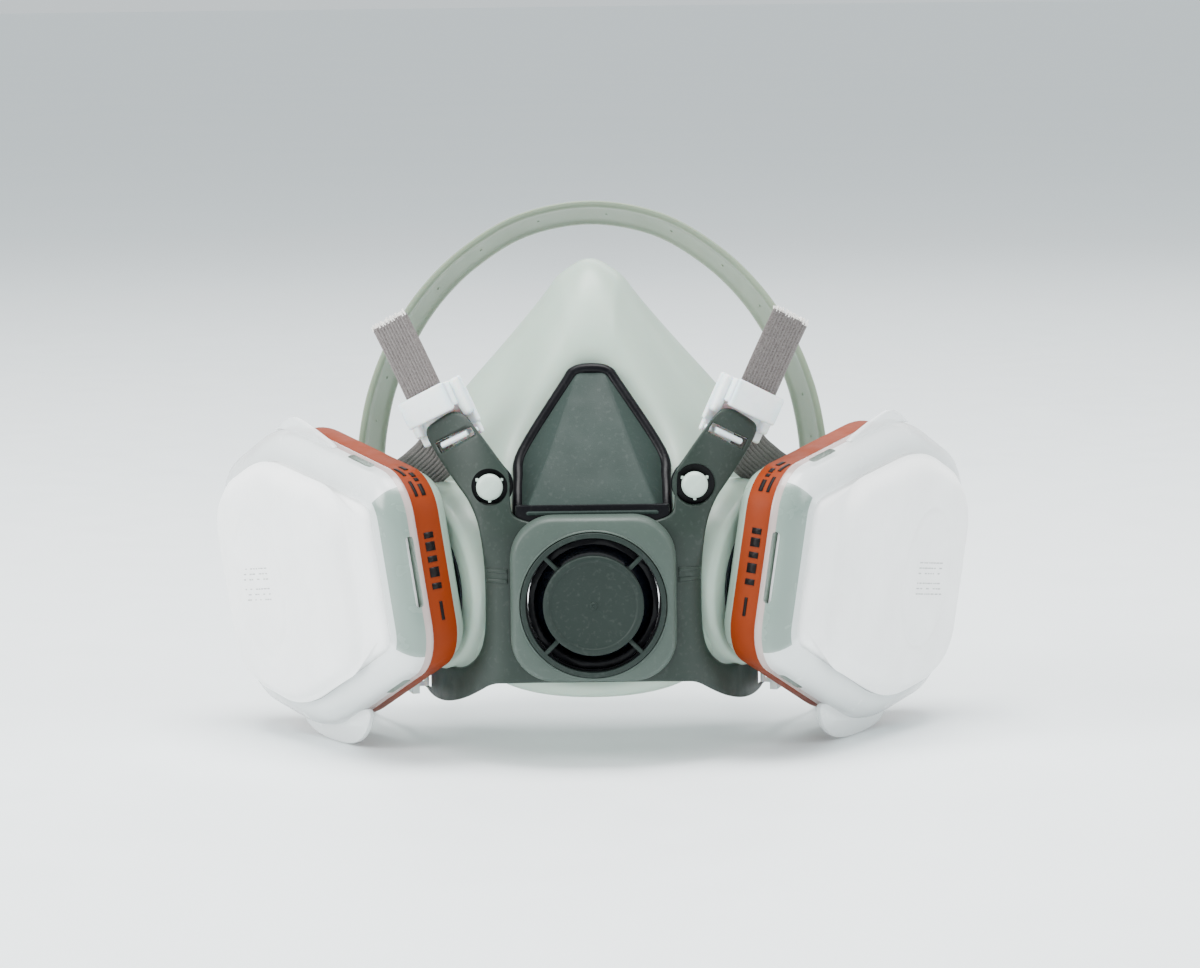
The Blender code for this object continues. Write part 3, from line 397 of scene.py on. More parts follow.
def smoothed(obj, sharp):
    """Smooth shading that keeps edges sharper than so many degrees."""
    obj.data.shade_smooth()
    obj.data.set_sharp_from_angle(angle=math.radians(sharp))


def piece(name, bm, finish, body, replaced=(), matrix=None, sharp=35.0):
    """Makes a shown object from a bmesh whose points are local to a matrix."""
    if matrix is not None:
        bmesh.ops.transform(bm, matrix=matrix, verts=bm.verts)
    bmesh.ops.recalc_face_normals(bm, faces=bm.faces)
    obj = mesh_object(name, bm, finish if isinstance(finish, tuple) else (finish,))
    smoothed(obj, sharp)
    if body:
        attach(obj, body)
    if replaced:
        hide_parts(*replaced)
    return obj


def settled(obj):
    """Applies an object's modifiers."""
    bpy.context.view_layer.update()
    graph = bpy.context.evaluated_depsgraph_get()
    mesh = bpy.data.meshes.new_from_object(obj.evaluated_get(graph))
    obj.modifiers.clear()
    obj.data = mesh
    return obj


def carved(obj, cutters):
    """Cuts the cutters' shapes out of an object and applies its modifiers."""
    for cutter in cutters:
        cut = obj.modifiers.new("cut", "BOOLEAN")
        cut.object = cutter
        cut.operation = "DIFFERENCE"
    settled(obj)
    for cutter in cutters:
        bpy.data.objects.remove(cutter, do_unlink=True)


def circle_turns(count):
    return [math.tau * k / count for k in range(count)]


def eased(share):
    """Share from 0 to 1 with a slow start and end."""
    return share * share * (3 - 2 * share)


def tangent_at(path, i):
    return (path[min(i + 1, len(path) - 1)] - path[max(i - 1, 0)]).normalized()


def add_loft(bm, sections, loop=False, caps=False):
    """Skin over closed sections that have the same number of points."""
    rows = [[bm.verts.new(point) for point in section] for section in sections]
    pairs = list(zip(rows, rows[1:]))
    if loop:
        pairs.append((rows[-1], rows[0]))
    for row, following in pairs:
        for i in range(len(row)):
            j = (i + 1) % len(row)
            bm.faces.new((row[i], row[j], following[j], following[i]))
    if caps:
        bm.faces.new(rows[0])
        bm.faces.new(rows[-1])


def add_turned(bm, profile, steps, loop=True):
    """Closed profile of (radius, height) turned about local Z."""
    sections = [[Vector((radius * math.cos(t), radius * math.sin(t), height))
                 for t in circle_turns(steps)] for radius, height in profile]
    add_loft(bm, sections, loop=loop, caps=not loop)


def add_box(bm, low, high, radius, segments=3):
    """Box with rounded edges."""
    size = Vector(high) - Vector(low)
    middle = (Vector(high) + Vector(low)) / 2
    made = bmesh.ops.create_cube(bm, size=1.0)["verts"]
    bmesh.ops.scale(bm, vec=size, verts=made)
    bmesh.ops.translate(bm, vec=middle, verts=made)
    corners = set(made)
    edges = [edge for edge in bm.edges if edge.verts[0] in corners]
    width = min(radius, min(size) * 0.45)
    bmesh.ops.bevel(bm, geom=edges, offset=width, segments=segments, profile=0.5,
                    affect="EDGES", clamp_overlap=True)


def add_side_box(bm, side, low, high, radius, segments):
    """Box whose X bounds are given for the right side."""
    ends = sorted((side * low[0], side * high[0]))
    add_box(bm, (ends[0], *low[1:]), (ends[1], *high[1:]), radius, segments)


def arc_profile(points, radius, count):
    """Open profile with each inner corner rounded."""
    found = [points[0]]
    for before, here, after in zip(points, points[1:], points[2:]):
        here = Vector(here)
        to_before, to_after = Vector(before) - here, Vector(after) - here
        reach = min(radius, to_before.length * 0.45, to_after.length * 0.45)
        start = here + to_before.normalized() * reach
        end = here + to_after.normalized() * reach
        for k in range(count + 1):
            t = k / count
            found.append(tuple(start * (1 - t) ** 2 + here * 2 * t * (1 - t) + end * t * t))
    found.append(points[-1])
    return found


def with_sides(corners):
    """Each corner of a closed outline with the directions to the ones before and after it."""
    spots = [Vector(corner) for corner in corners]
    for i, here in enumerate(spots):
        before, after = spots[i - 1] - here, spots[(i + 1) % len(spots)] - here
        yield here, before.normalized(), after.normalized()


def rounded_polygon(corners, radii, count):
    """Outline with an arc of count parts at each corner."""
    points = []
    for (here, before, after), radius in zip(with_sides(corners), radii):
        half_angle = before.angle(after) / 2
        centre = here + (before + after).normalized() * (radius / math.sin(half_angle))
        start = here + before * (radius / math.tan(half_angle)) - centre
        finish = here + after * (radius / math.tan(half_angle)) - centre
        sweep = start.angle(finish)
        for k in range(count + 1):
            share = k / count
            spot = (start * math.sin((1 - share) * sweep) + finish * math.sin(share * sweep))
            points.append(centre + spot / math.sin(sweep))
    return points


def densified(loop, step):
    """Closed outline with its long stretches divided."""
    found = []
    for i, point in enumerate(loop):
        following = loop[(i + 1) % len(loop)]
        parts = max(1, round((following - point).length / step))
        found += [point.lerp(following, k / parts) for k in range(parts)]
    return found


def smooth_path(points, steps):
    """Points on a Catmull-Rom curve through given points."""
    vectors = [Vector(p) for p in points]
    vectors = [2 * vectors[0] - vectors[1], *vectors, 2 * vectors[-1] - vectors[-2]]
    found = []
    for a, b, c, d in zip(vectors, vectors[1:], vectors[2:], vectors[3:]):
        for i in range(steps):
            t = i / steps
            found.append(0.5 * (2 * b + (c - a) * t + (2 * a - 5 * b + 4 * c - d) * t * t
                                + (3 * b - a - 3 * c + d) * t ** 3))
    found.append(vectors[-2])
    return found


def refined(name, finish, width, segments=2, angle=30.0):
    """Copy of a CAD node with its edges rounded, which stands for it."""
    source = NODES[name]
    bm = bmesh.new()
    bm.from_mesh(source.data)
    bmesh.ops.remove_doubles(bm, verts=bm.verts, dist=1e-6)
    bmesh.ops.dissolve_limit(bm, angle_limit=math.radians(1.0), verts=bm.verts, edges=bm.edges)
    obj = piece(name + "_fine", bm, finish, source["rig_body"], (name,))
    edge = obj.modifiers.new("edge", "BEVEL")
    edge.width = width * MM
    edge.segments = segments
    edge.limit_method = "ANGLE"
    edge.angle_limit = math.radians(angle)
    settled(obj)
    smoothed(obj, 50)


def paint(name, finish):
    """Gives a carried-over CAD node its finish."""
    mesh = NODES[name].data
    mesh.materials.clear()
    mesh.materials.append(finish)


# ---- soft cup ----
# Half rings from the nose to the chin, front to back; each row is x, y, z.
CUP_RINGS = (
    ((0, 42, 103), (4, 41, 102), (10, 37, 94), (17, 31, 83), (19.5, 21, 72), (20.5, 15.8, 55),
     (21, 15.5, 40), (14.5, 15.5, 28), (0, 15.5, 24.8)),
    ((0, 41, 108.5), (6.5, 40.5, 107), (14.5, 37, 96), (22.5, 30, 84.5), (24.5, 19.5, 73),
     (25, 13.8, 55), (25, 12.6, 38), (20, 12.2, 23.5), (0, 11.6, 20.6)),
    ((0, 46, 119), (6.5, 45.5, 116), (17, 42, 101), (26.5, 36, 87), (30, 25, 74), (31, 19, 55),
     (31, 16.5, 37), (28, 14.5, 19.5), (0, 12.6, 16.2)),
    ((0, 58, 136.5), (8, 57, 128.8), (20.5, 55, 107), (32, 51, 92), (39.5, 43, 76),
     (40.5, 37, 57), (38.5, 31, 38), (33, 25, 19.5), (0, 22, 15.2)),
    ((0, 74, 132), (10, 73, 126), (25, 73, 107), (40, 71, 91), (48.5, 68, 74), (49.5, 65, 56),
     (46, 60, 37), (35, 52, 20.5), (0, 47, 13.5)),
    ((0, 80, 126), (10.5, 80, 121), (27, 82, 104), (42, 83, 88), (50, 83, 73), (51, 82, 56),
     (46, 79, 38), (31, 73, 25), (0, 66, 18.5)),
    ((0, 76, 112), (7, 76, 109), (17, 77, 97), (31, 77, 85), (39, 77, 72), (40, 76, 56),
     (36, 73, 41), (23, 68, 31), (0, 61, 27)),
)
SEAL_WALL, SEAL_LEVELS = 2.2, 4
RIDGE_CREASE, RIM_CREASE = 0.8, 0.25
RIM_RING = 5
COLLAR_HOLE = ((13.3, -18.0), (13.3, 12.0))          # radius and height of its two ends


def make_seal():
    bm = bmesh.new()
    rows = [[bm.verts.new(place(*point)) for point in ring] for ring in CUP_RINGS]
    for row, following in zip(rows, rows[1:]):
        for i in range(len(row) - 1):
            bm.faces.new((row[i], row[i + 1], following[i + 1], following[i]))
    crease = bm.edges.layers.float.new("crease_edge")
    ridge = {row[1] for row in rows[1:RIM_RING]}
    for kept, sharpness in ((ridge, RIDGE_CREASE), (set(rows[RIM_RING]), RIM_CREASE)):
        for edge in bm.edges:
            if edge.verts[0] in kept and edge.verts[1] in kept:
                edge[crease] = sharpness
    seal = piece("soft_cup", bm, SEAL, "facepiece", ("face_seal",))
    half = seal.modifiers.new("half", "MIRROR")
    half.use_clip = True
    half.merge_threshold = 0.0001
    soft = seal.modifiers.new("soft", "SUBSURF")
    soft.levels = soft.render_levels = SEAL_LEVELS
    wall = seal.modifiers.new("wall", "SOLIDIFY")
    wall.thickness = SEAL_WALL * MM
    wall.offset = -1.0
    cutters = []
    for label, side in SIDES:
        bore = bmesh.new()
        add_turned(bore, COLLAR_HOLE, 64, loop=False)
        bmesh.ops.transform(bore, matrix=port_matrix(side, label), verts=bore.verts)
        bmesh.ops.recalc_face_normals(bore, faces=bore.faces)
        cutters.append(mesh_object("bore_" + label, bore))
    carved(seal, cutters)
    smoothed(seal, 50)


# ---- nose panel: rows of height, depth, ridge x, edge x, edge depth ----
PANEL_ROWS = (
    (102.8, 36.2, 3.2, 4.2, 36.6),
    (99.5, 33.6, 4.6, 6.8, 35.0),
    (82.4, 20.2, 11.2, 18.2, 25.8),
    (75.5, 14.8, 14.3, 19.4, 20.0),
    (67.8, 9.2, 17.6, 19.6, 13.2),
)
# black bead round the nose panel, painted shadow of its groove: radius, top and foot of its path
SHADOW_BEAD_RADIUS = 1.55
SHADOW_BEAD_TOP, SHADOW_BEAD_FOOT = (0, 37.2, 103.6), (12.6, 61.0)


def add_tube(bm, path, radius, sides):
    """Round bead along an open path in metres."""
    sections = []
    reference = Vector((0, -1, 0))
    for i, point in enumerate(path):
        tangent = tangent_at(path, i)
        side = tangent.cross(reference).normalized()
        front = side.cross(tangent).normalized()
        sections.append([point + (side * math.cos(t) + front * math.sin(t)) * radius * MM
                         for t in circle_turns(sides)])
    add_loft(bm, sections, caps=True)


def make_panel_edge():
    """Black bead that shows round the nose panel: painted shadow of the groove between the panel
    and the cup.
    """
    half = [Vector((edge + 0.2, depth + 0.6, height)) for height, _, _, edge, depth in PANEL_ROWS]
    half.append(Vector((PANEL_ROWS[-1][3] + 0.6, *SHADOW_BEAD_FOOT)))
    left = [Vector((-p.x, p.y, p.z)) for p in reversed(half)]
    points = [*left, Vector(SHADOW_BEAD_TOP), *half]
    path = [place(*p) for p in smooth_path(points, 6)]
    bm = bmesh.new()
    add_tube(bm, path, SHADOW_BEAD_RADIUS, 12)
    piece("panel_shadow_bead", bm, BLACK, "facepiece")


# ---- exhalation valve ----
HOUSING_HALF, HOUSING_TOP, HOUSING_BOTTOM = 21.9, 23.4, 20.7
HOUSING_CORNER = 11.6


def housing_section(inset, depth):
    high, low = -HOUSING_TOP + inset, HOUSING_BOTTOM - inset
    half = HOUSING_HALF - inset
    corners = ((half, high), (half, low), (-half, low), (-half, high))
    outline = rounded_polygon(corners, [HOUSING_CORNER - inset] * 4, 12)
    return [Vector((p.x, p.y, depth)) for p in densified(outline, 2.0)]


def round_section(like, radius, depth, low=0.0):
    """Circle with one point for each point of another section; its centre is low across it."""
    found = []
    for point in like:
        turn = math.atan2(point.y - low, point.x)
        found.append(Vector((radius * math.cos(turn), radius * math.sin(turn) + low, depth)))
    return found


def make_housing():
    like = housing_section(0.0, 0.0)
    profile = ((0.5, 9.5), (0.0, 8.0), (0.0, 4.8), (0.12, 3.9), (0.45, 3.1), (0.95, 2.5),
               (1.5, 2.15))
    sections = [housing_section(inset, depth)[:len(like)] for inset, depth in profile]
    ring = ((19.95, 2.0), (19.75, 1.75), (19.5, 1.75), (19.4, 2.1), (19.4, 9.5))
    sections += [round_section(like, radius, depth) for radius, depth in ring]
    bm = bmesh.new()
    add_loft(bm, sections, loop=True)
    piece("valve_housing_fine", bm, HOUSING_LIT, "facepiece", ("valve_housing",),
          VALVE_FRAME, 40)


def make_dark_parts():
    """Black neck inside the housing and black strip below the nose panel: painted shade of the
    recess behind the cover and of the gap under the panel.
    """
    bm = bmesh.new()
    add_turned(bm, ((17.5, 4.4), (19.3, 4.4), (19.3, 13.2), (17.5, 13.2)), 96)
    add_box(bm, (-20.4, -25.6, 9.7), (20.4, -17.0, 12.4), 0.5, 2)
    piece("housing_neck", bm, BLACK, "facepiece", (), VALVE_FRAME, 40)


def make_valve():
    """Domed rubber flap behind the cover."""
    bm = bmesh.new()
    profile = ((2.1, 8.6), (5.0, 8.3), (9.0, 8.3), (12.5, 8.8), (14.6, 9.7), (15.6, 10.6),
               (15.8, 11.1), (15.4, 11.2), (13.0, 10.2), (9.0, 9.3), (2.1, 9.4))
    add_turned(bm, profile, 96)
    piece("exhalation_flap", bm, RUBBER, "exhalation_valve",
          ("exhalation_valve",), VALVE_FRAME, 40)


def make_cover():
    """Vent cover: plain disc on four thin spokes in a rim."""
    bm = bmesh.new()
    disc = arc_profile(((0.3, 3.0), (13.3, 3.0), (13.3, 0.5), (12.5, 0.25), (11.7, 0.25),
                        (11.3, 0.6), (0.9, 0.6), (0.3, 0.6)), 0.35, 3)
    add_turned(bm, disc, 96)
    add_turned(bm, ((0.05, 2.0), (1.0, 2.0), (1.0, 0.5), (0.8, 0.3), (0.55, 0.3), (0.45, 0.42),
                    (0.05, 0.42)), 24)
    rim = arc_profile(((17.9, 1.3), (19.25, 1.3), (19.25, 3.8), (17.9, 3.8), (17.9, 1.3)), 0.3, 3)
    add_turned(bm, rim[:-1], 112)
    for number in range(4):
        spoke = bmesh.new()
        add_box(spoke, (12.9, -0.55, 1.35), (18.3, 0.55, 3.0), 0.25, 2)
        add_part(bm, spoke, Matrix.Rotation(math.radians(45 + 90 * number), 4, "Z"))
    piece("vent_cover", bm, COVER, "valve_cover", ("valve_cover",),
          VALVE_FRAME, 40)


# ---- harness yoke ----
YOKE_HALF = (
    (0, 65.2), (15, 65.2), (21.0, 67.0), (21.8, 70), (21.8, 78.6), (23.8, 81.0), (27.4, 86),
    (31.2, 90.8), (33.2, 93.2), (35.8, 94.4), (38.4, 93.6), (43.6, 89.8), (44.4, 88.2),
    (43.6, 85.8), (41.1, 82.0), (35.8, 75), (32.6, 71), (30.0, 64.7), (28.8, 55), (28.6, 45),
    (28.8, 36), (30.2, 30), (33.5, 25.8), (36.5, 24.2), (40.5, 23.6), (43.5, 24.4),
    (46.6, 24.8), (47.4, 24.0), (47.4, 16.0), (46.4, 13.8), (44, 13), (40.5, 13.6), (35.4, 16.4),
    (31, 19.6), (27.5, 22.2), (24, 22.8), (0, 22.8),
)
UPPER_SLOT = ((32.2, 90.9), (41.6, 85.6), (40.1, 83.1), (30.8, 88.5))
LOWER_SLOT = ((45.0, 14.8), (46.4, 14.8), (46.4, 23.2), (45.0, 23.2))
YOKE_FRONT, YOKE_THICK = 7.9, 3.0
YOKE_HOLE, STUD_HOLE = 19.3, 5.4
FLAT_HALF, ARM_END = 22.0, 47.0
RIB_START, RIB_END = 22.6, 28.4
BEND_LOW, BEND_HIGH = 0.075, 0.028
BEND_LEAN = 0.15
BEND_FROM, BEND_TO = 50.0, 62.0
STUD_X, STUD_Z = 27.1, 75.0


def yoke_depth(x, z):
    """How far back the front of the yoke lies at x, z."""
    share = eased(min(max((z - BEND_FROM) / (BEND_TO - BEND_FROM), 0), 1))
    bend = BEND_LOW + (BEND_HIGH - BEND_LOW) * share
    return YOKE_FRONT + bend * max(abs(x) - FLAT_HALF, 0) ** 2 + BEND_LEAN * max(z - BEND_TO, 0)


def corner_cut(loop, rounds):
    """Closed outline with its corners cut round after round."""
    for _ in range(rounds):
        found = []
        for i, point in enumerate(loop):
            following = loop[(i + 1) % len(loop)]
            found += [point.lerp(following, 0.25), point.lerp(following, 0.75)]
        loop = found
    return loop


def circle(centre, radius, count):
    return [Vector((centre[0] + radius * math.cos(t), centre[1] + radius * math.sin(t)))
            for t in circle_turns(count)]


def plate(outline, holes, thickness, rounding):
    """Flat plate from outlines in millimetres, its edges rounded; local Z is its depth."""
    curve = bpy.data.curves.new("plate", "CURVE")
    curve.dimensions = "2D"
    curve.fill_mode = "BOTH"
    curve.extrude = thickness / 2 - rounding
    curve.bevel_depth = rounding
    curve.bevel_resolution = 2
    curve.offset = -rounding
    for loop in [outline, *holes]:
        spline = curve.splines.new("POLY")
        spline.points.add(len(loop) - 1)
        for point, spot in zip(spline.points, loop):
            point.co = (spot[0], spot[1], 0.0, 1.0)
        spline.use_cyclic_u = True
    holder = add_object("plate", curve)
    bpy.context.view_layer.update()
    graph = bpy.context.evaluated_depsgraph_get()
    mesh = bpy.data.meshes.new_from_object(holder.evaluated_get(graph))
    bpy.data.objects.remove(holder, do_unlink=True)
    bpy.data.curves.remove(curve)
    bm = bmesh.new()
    bm.from_mesh(mesh)
    bpy.data.meshes.remove(mesh)
    bmesh.ops.remove_doubles(bm, verts=bm.verts, dist=0.002)
    return bm


def bend_yoke(bm):
    """Takes flat points (x, z, depth) in millimetres to the bent yoke, in metres."""
    for vert in bm.verts:
        x, z, depth = vert.co
        vert.co = place(x, yoke_depth(x, z) + depth, z)


def sliced(bm, start, end, step, axis):
    """Cuts a mesh across an axis at even steps."""
    low, high = sorted((start, end))
    normal = Vector((0, 0, 0))
    normal[axis] = 1.0
    count = int((high - low) / step) + 1
    for k in range(count):
        everything = bm.verts[:] + bm.edges[:] + bm.faces[:]
        bmesh.ops.bisect_plane(bm, geom=everything, dist=1e-5, plane_co=normal * (low + k * step),
                               plane_no=normal)


def make_yoke():
    half = [Vector(p) for p in YOKE_HALF]
    whole = half + [Vector((-p.x, p.y)) for p in reversed(half) if abs(p.x) > 0.01]
    outline = corner_cut(whole, 2)
    holes = [circle((0, VALVE_Z), YOKE_HOLE, 64)]
    for loop in (UPPER_SLOT, LOWER_SLOT):
        corners = [Vector(p) for p in loop]
        holes += [corners, [Vector((-p.x, p.y)) for p in corners]]
    holes += [circle((side * STUD_X, STUD_Z), STUD_HOLE, 40) for side in (-1, 1)]
    bm = plate(outline, holes, YOKE_THICK, 0.55)
    bmesh.ops.translate(bm, vec=Vector((0, 0, YOKE_THICK / 2)), verts=bm.verts)
    for side in (-1, 1):
        sliced(bm, side * FLAT_HALF, side * ARM_END, 1.0, 0)
    sliced(bm, BEND_FROM, BEND_TO, 1.5, 1)
    bend_yoke(bm)
    piece("yoke", bm, YOKE, "facepiece", ("harness_yoke",), sharp=42)
    ribs = bmesh.new()
    for side in (-1, 1):
        for height in (50.2, 52.8):
            add_side_box(ribs, side, (RIB_START, height - 0.55, -0.45),
                         (RIB_END, height + 0.55, 0.6), 0.3, 2)
        add_side_box(ribs, side, (RIB_START, 49.6, -0.12), (RIB_END, 53.4, 0.5), 0.1, 1)
    for side in (-1, 1):
        sliced(ribs, side * RIB_START, side * RIB_END, 0.8, 0)
    bend_yoke(ribs)
    piece("yoke_ribs", ribs, YOKE, "facepiece", sharp=42)


def make_stud(label, side):
    matrix = front_matrix(side * STUD_X, yoke_depth(STUD_X, STUD_Z), STUD_Z)
    bm = bmesh.new()
    add_turned(bm, ((0.02, -1.75), (1.4, -1.7), (2.5, -1.5), (3.2, -1.05), (3.5, -0.5),
                    (3.5, 0.2), (3.1, 0.5), (3.1, 4.6), (0.02, 4.6)), 48)
    half = Vector((0.4, 0.4, 0.5))
    for number in range(3):
        turn = math.radians(90 + 120 * number)
        spot = Vector((3.75 * math.cos(turn), 3.75 * math.sin(turn), 0.6))
        add_box(bm, spot - half, spot + half, 0.2, 2)
    piece("stud_" + label, bm, STUD, "facepiece", ("harness_stud_" + label,),
          matrix, 40)
    # black ring at the floor of the stud's hole: painted shade of the deep hole
    bm = bmesh.new()
    add_turned(bm, ((3.2, 3.2), (5.9, 3.2), (6.2, 3.6), (6.2, 4.9), (3.2, 4.9)), 48)
    piece("stud_hole_shade_" + label, bm, BLACK, "facepiece", (), matrix, 40)


# ---- cheek ports ----
def make_port(label, matrix):
    bm = bmesh.new()
    profile = arc_profile(((12.8, 4.0), (23.4, 4.0), (24.6, 2.6), (25.6, -2.0), (25.2, -9.0),
                           (20.0, -9.0), (20.0, 1.0), (12.8, 1.0)), 1.2, 4)
    add_turned(bm, profile, 80)
    piece("port_boss_" + label, bm, SEAL, "facepiece", (), matrix, 40)
    refined("cheek_port_" + label, HOUSING_LIT, 0.3)
    paint("port_gasket_" + label, RUBBER)
    refined("inhalation_valve_" + label, RUBBER, 0.2)


# ---- cartridges ----
# Corners of the cartridge: distance along it from the port axis, half height.
CART_HALF = ((-21.8, 23.5), (36.0, 41.5), (73.0, 30.5))
CART_FRONT = CART_HALF[0][0]
CART_ROUNDING = (12.0, 38.0, 15.0, 15.0, 38.0, 12.0)
CORNER_PARTS, STRETCH_PARTS = 8, 12


def cart_corners(inset):
    """Corners of the cartridge moved inward, round from the lower front one to the upper."""
    corners = [Vector((x, -y)) for x, y in CART_HALF]
    corners += [Vector((x, y)) for x, y in reversed(CART_HALF)]
    return [here + (before + after).normalized() * (inset / math.sin(before.angle(after) / 2))
            for here, before, after in with_sides(corners)]


def cart_edge(x, inset):
    """Half height of the cartridge at x along it, leaving out the rounding of its corners."""
    rear, middle, front = cart_corners(inset)[3:]
    start, stop = (front, middle) if x < middle.x else (middle, rear)
    return start.y + (stop.y - start.y) * (x - start.x) / (stop.x - start.x)


def even_ring(corners, inset, height):
    """Rounded outline with the same number of points whatever its size."""
    radii = [max(radius - inset, 2.0) for radius in CART_ROUNDING]
    loop = rounded_polygon(corners, radii, CORNER_PARTS)
    arc = CORNER_PARTS + 1
    found = []
    for corner in range(len(corners)):
        found += loop[corner * arc:(corner + 1) * arc]
        last = loop[(corner + 1) * arc - 1]
        following = loop[((corner + 1) * arc) % len(loop)]
        found += [last.lerp(following, k / STRETCH_PARTS) for k in range(1, STRETCH_PARTS)]
    return [Vector((p.x, p.y, height)) for p in found]


def cart_ring(inset, height):
    return even_ring(cart_corners(inset), inset, height)


def make_shell(label, side, matrix):
    like = cart_ring(7.0, 0.0)
    low = -side * CART_RISE
    outer = ((7.0, 5.0), (5.2, 5.15), (3.6, 5.5), (2.3, 6.1), (1.6, 6.9), (1.45, 7.6),
             (1.4, 8.3), (0.75, 8.55), (0.2, 8.8), (0.0, 9.2), (0.0, 13.0), (0.0, 18.4),
             (0.25, 19.0), (1.35, 19.0), (1.6, 18.7), (1.6, 10.4), (2.4, 9.4), (9.6, 7.0))
    sections = [round_section(like, 13.2, 7.0, low), round_section(like, 13.2, 5.6, low),
                round_section(like, 13.6, 5.0, low)]
    sections += [cart_ring(inset, height) for inset, height in outer]
    bm = bmesh.new()
    add_loft(bm, sections, loop=True)
    piece("shell_" + label, bm, SHELL, "cartridge_" + label,
          ("cartridge_shell_" + label,), matrix, 38)


def front_walk(side, inset):
    """Spot on the outline at a distance above the middle of the cartridge's front edge."""
    loop = [Vector((p.x, p.y)) for p in cart_ring(inset, 0.0)]
    if side < 0:
        loop.reverse()
    start = min(range(len(loop)), key=lambda i: (abs(loop[i].y) + (50 if loop[i].x > 0 else 0)))
    loop = loop[start:] + loop[:start]
    total = len(loop)
    lengths = [(loop[(i + 1) % total] - loop[i]).length for i in range(total)]

    def at(distance):
        distance = -distance % sum(lengths)
        for i, length in enumerate(lengths):
            if distance <= length:
                return loop[i].lerp(loop[(i + 1) % total], distance / length)
            distance -= length
        return loop[0]

    return at


# Plain printed bars on the label: start above the front's middle, length, low and high edge.
LABEL_BARS = (
    (30.0, 3.4, 12.0, 13.2), (26.0, 2.0, 12.0, 13.2), (24.2, 1.2, 12.0, 13.2),
    (19.5, 3.6, 12.0, 13.2), (27.0, 5.5, 14.4, 15.3), (19.5, 5.0, 14.4, 15.3),
    (8.0, 1.6, 12.4, 15.2), (4.6, 2.4, 12.4, 15.2), (1.6, 1.6, 12.4, 15.2),
    (-2.4, 2.6, 12.4, 15.2), (-5.6, 1.6, 12.4, 15.2), (-14.0, 5.0, 13.0, 13.9),
)
BAR_WALL, BAR_STEP = 0.12, 0.6


def make_label(label, side, matrix):
    bm = bmesh.new()
    ring = [cart_ring(-0.15, 9.6), cart_ring(-0.45, 9.65), cart_ring(-0.5, 9.8),
            cart_ring(-0.5, 17.3), cart_ring(-0.45, 17.45), cart_ring(-0.15, 17.5)]
    add_loft(bm, ring, loop=True)
    piece("label_" + label, bm, LABEL, "cartridge_" + label,
          ("cartridge_label_" + label,), matrix, 40)
    at = front_walk(side, -0.6)
    bm = bmesh.new()
    for start, length, low, high in LABEL_BARS:
        count = max(2, int(length / BAR_STEP))
        spots = [at(start + length * k / count) for k in range(count + 1)]
        rows = [(bm.verts.new((p.x, p.y, low)), bm.verts.new((p.x, p.y, high))) for p in spots]
        for row, following in zip(rows, rows[1:]):
            bm.faces.new((row[0], row[1], following[1], following[0]))
    bars = piece("label_bars_" + label, bm, MARKS, "cartridge_" + label, (),
                 matrix, 60)
    wall = bars.modifiers.new("wall", "SOLIDIFY")
    wall.thickness = BAR_WALL * MM
    wall.offset = 0.0
    settled(bars)


RETAINER_OUTER = ((-1.9, 17.9), (-2.05, 18.3), (-1.9, 18.8), (-1.7, 20.0), (-1.45, 21.4),
                  (-0.9, 22.6), (0.2, 23.9), (1.8, 25.1), (3.6, 25.95), (5.2, 26.35),
                  (6.1, 26.4))
RETAINER_INNER = ((6.4, 26.0), (6.1, 25.5), (4.8, 25.25), (3.0, 24.8), (1.4, 23.9),
                  (0.2, 22.4), (-0.3, 21.0), (-0.45, 19.6), (-0.6, 18.0))
RIM_TOP, LIP_BOTTOM = 19.4, 26.1     # heights between which the front wall is darker green: shell seen through and painted shade on that wall
TAB_LOW, TAB_HIGH = 19.6, 21.2
TAB_ROOT = -1.8                      # inset of the retainer's wall, where the tabs start
BOTTOM_TAB = ((9.0, 0.0), (20.0, None), (46.0, None), (53.0, 0.0))
TOP_TAB = ((1.5, 0.0), (26.0, 3.8), (32.0, 2.8), (42.0, 0.0))


def floor_distance(matrix, side, x, height):
    """Distance across the cartridge from its middle line down to the floor."""
    spot = matrix @ Vector((x, 0, height))
    down = (matrix.to_3x3() @ Vector((0, 1, 0))) * side
    return spot.z / down.z


def retainer_windows():
    """Snap windows in the retainer's wall: place, low corner, high corner."""
    slope = (CART_HALF[1][1] - CART_HALF[0][1]) / (CART_HALF[1][0] - CART_HALF[0][0])
    lean = Matrix.Rotation(math.atan(slope), 4, "Z")
    yield Matrix.Identity(4), (CART_FRONT - 4, -9.5, 19.3), (CART_FRONT + 1.2, 9.5, 21.4)
    for sign, turn in ((-1, lean.inverted()), (1, lean)):
        middle = Matrix.Translation((-4.0, sign * cart_edge(-4.0, 0.0), 0))
        yield middle @ turn, (-6.0, -2.5, 19.3), (6.0, 3.2, 21.4)


def tab_outline(corners, matrix, side, sign):
    """Outline of a pull tab on the lower (sign -1) or upper edge; no rise means to the floor."""
    outline = []
    for x, rise in corners:
        if rise is None:
            reach = floor_distance(matrix, side, x, TAB_HIGH) - 0.05
        else:
            reach = cart_edge(x, TAB_ROOT) + rise - (0.6 if rise == 0 else 0.0)
        outline.append(Vector((x, side * sign * reach)))
    widest = CART_HALF[1][0]
    outline.append(Vector((widest, side * sign * (cart_edge(widest, TAB_ROOT) - 1.3))))
    return corner_cut(outline, 3)


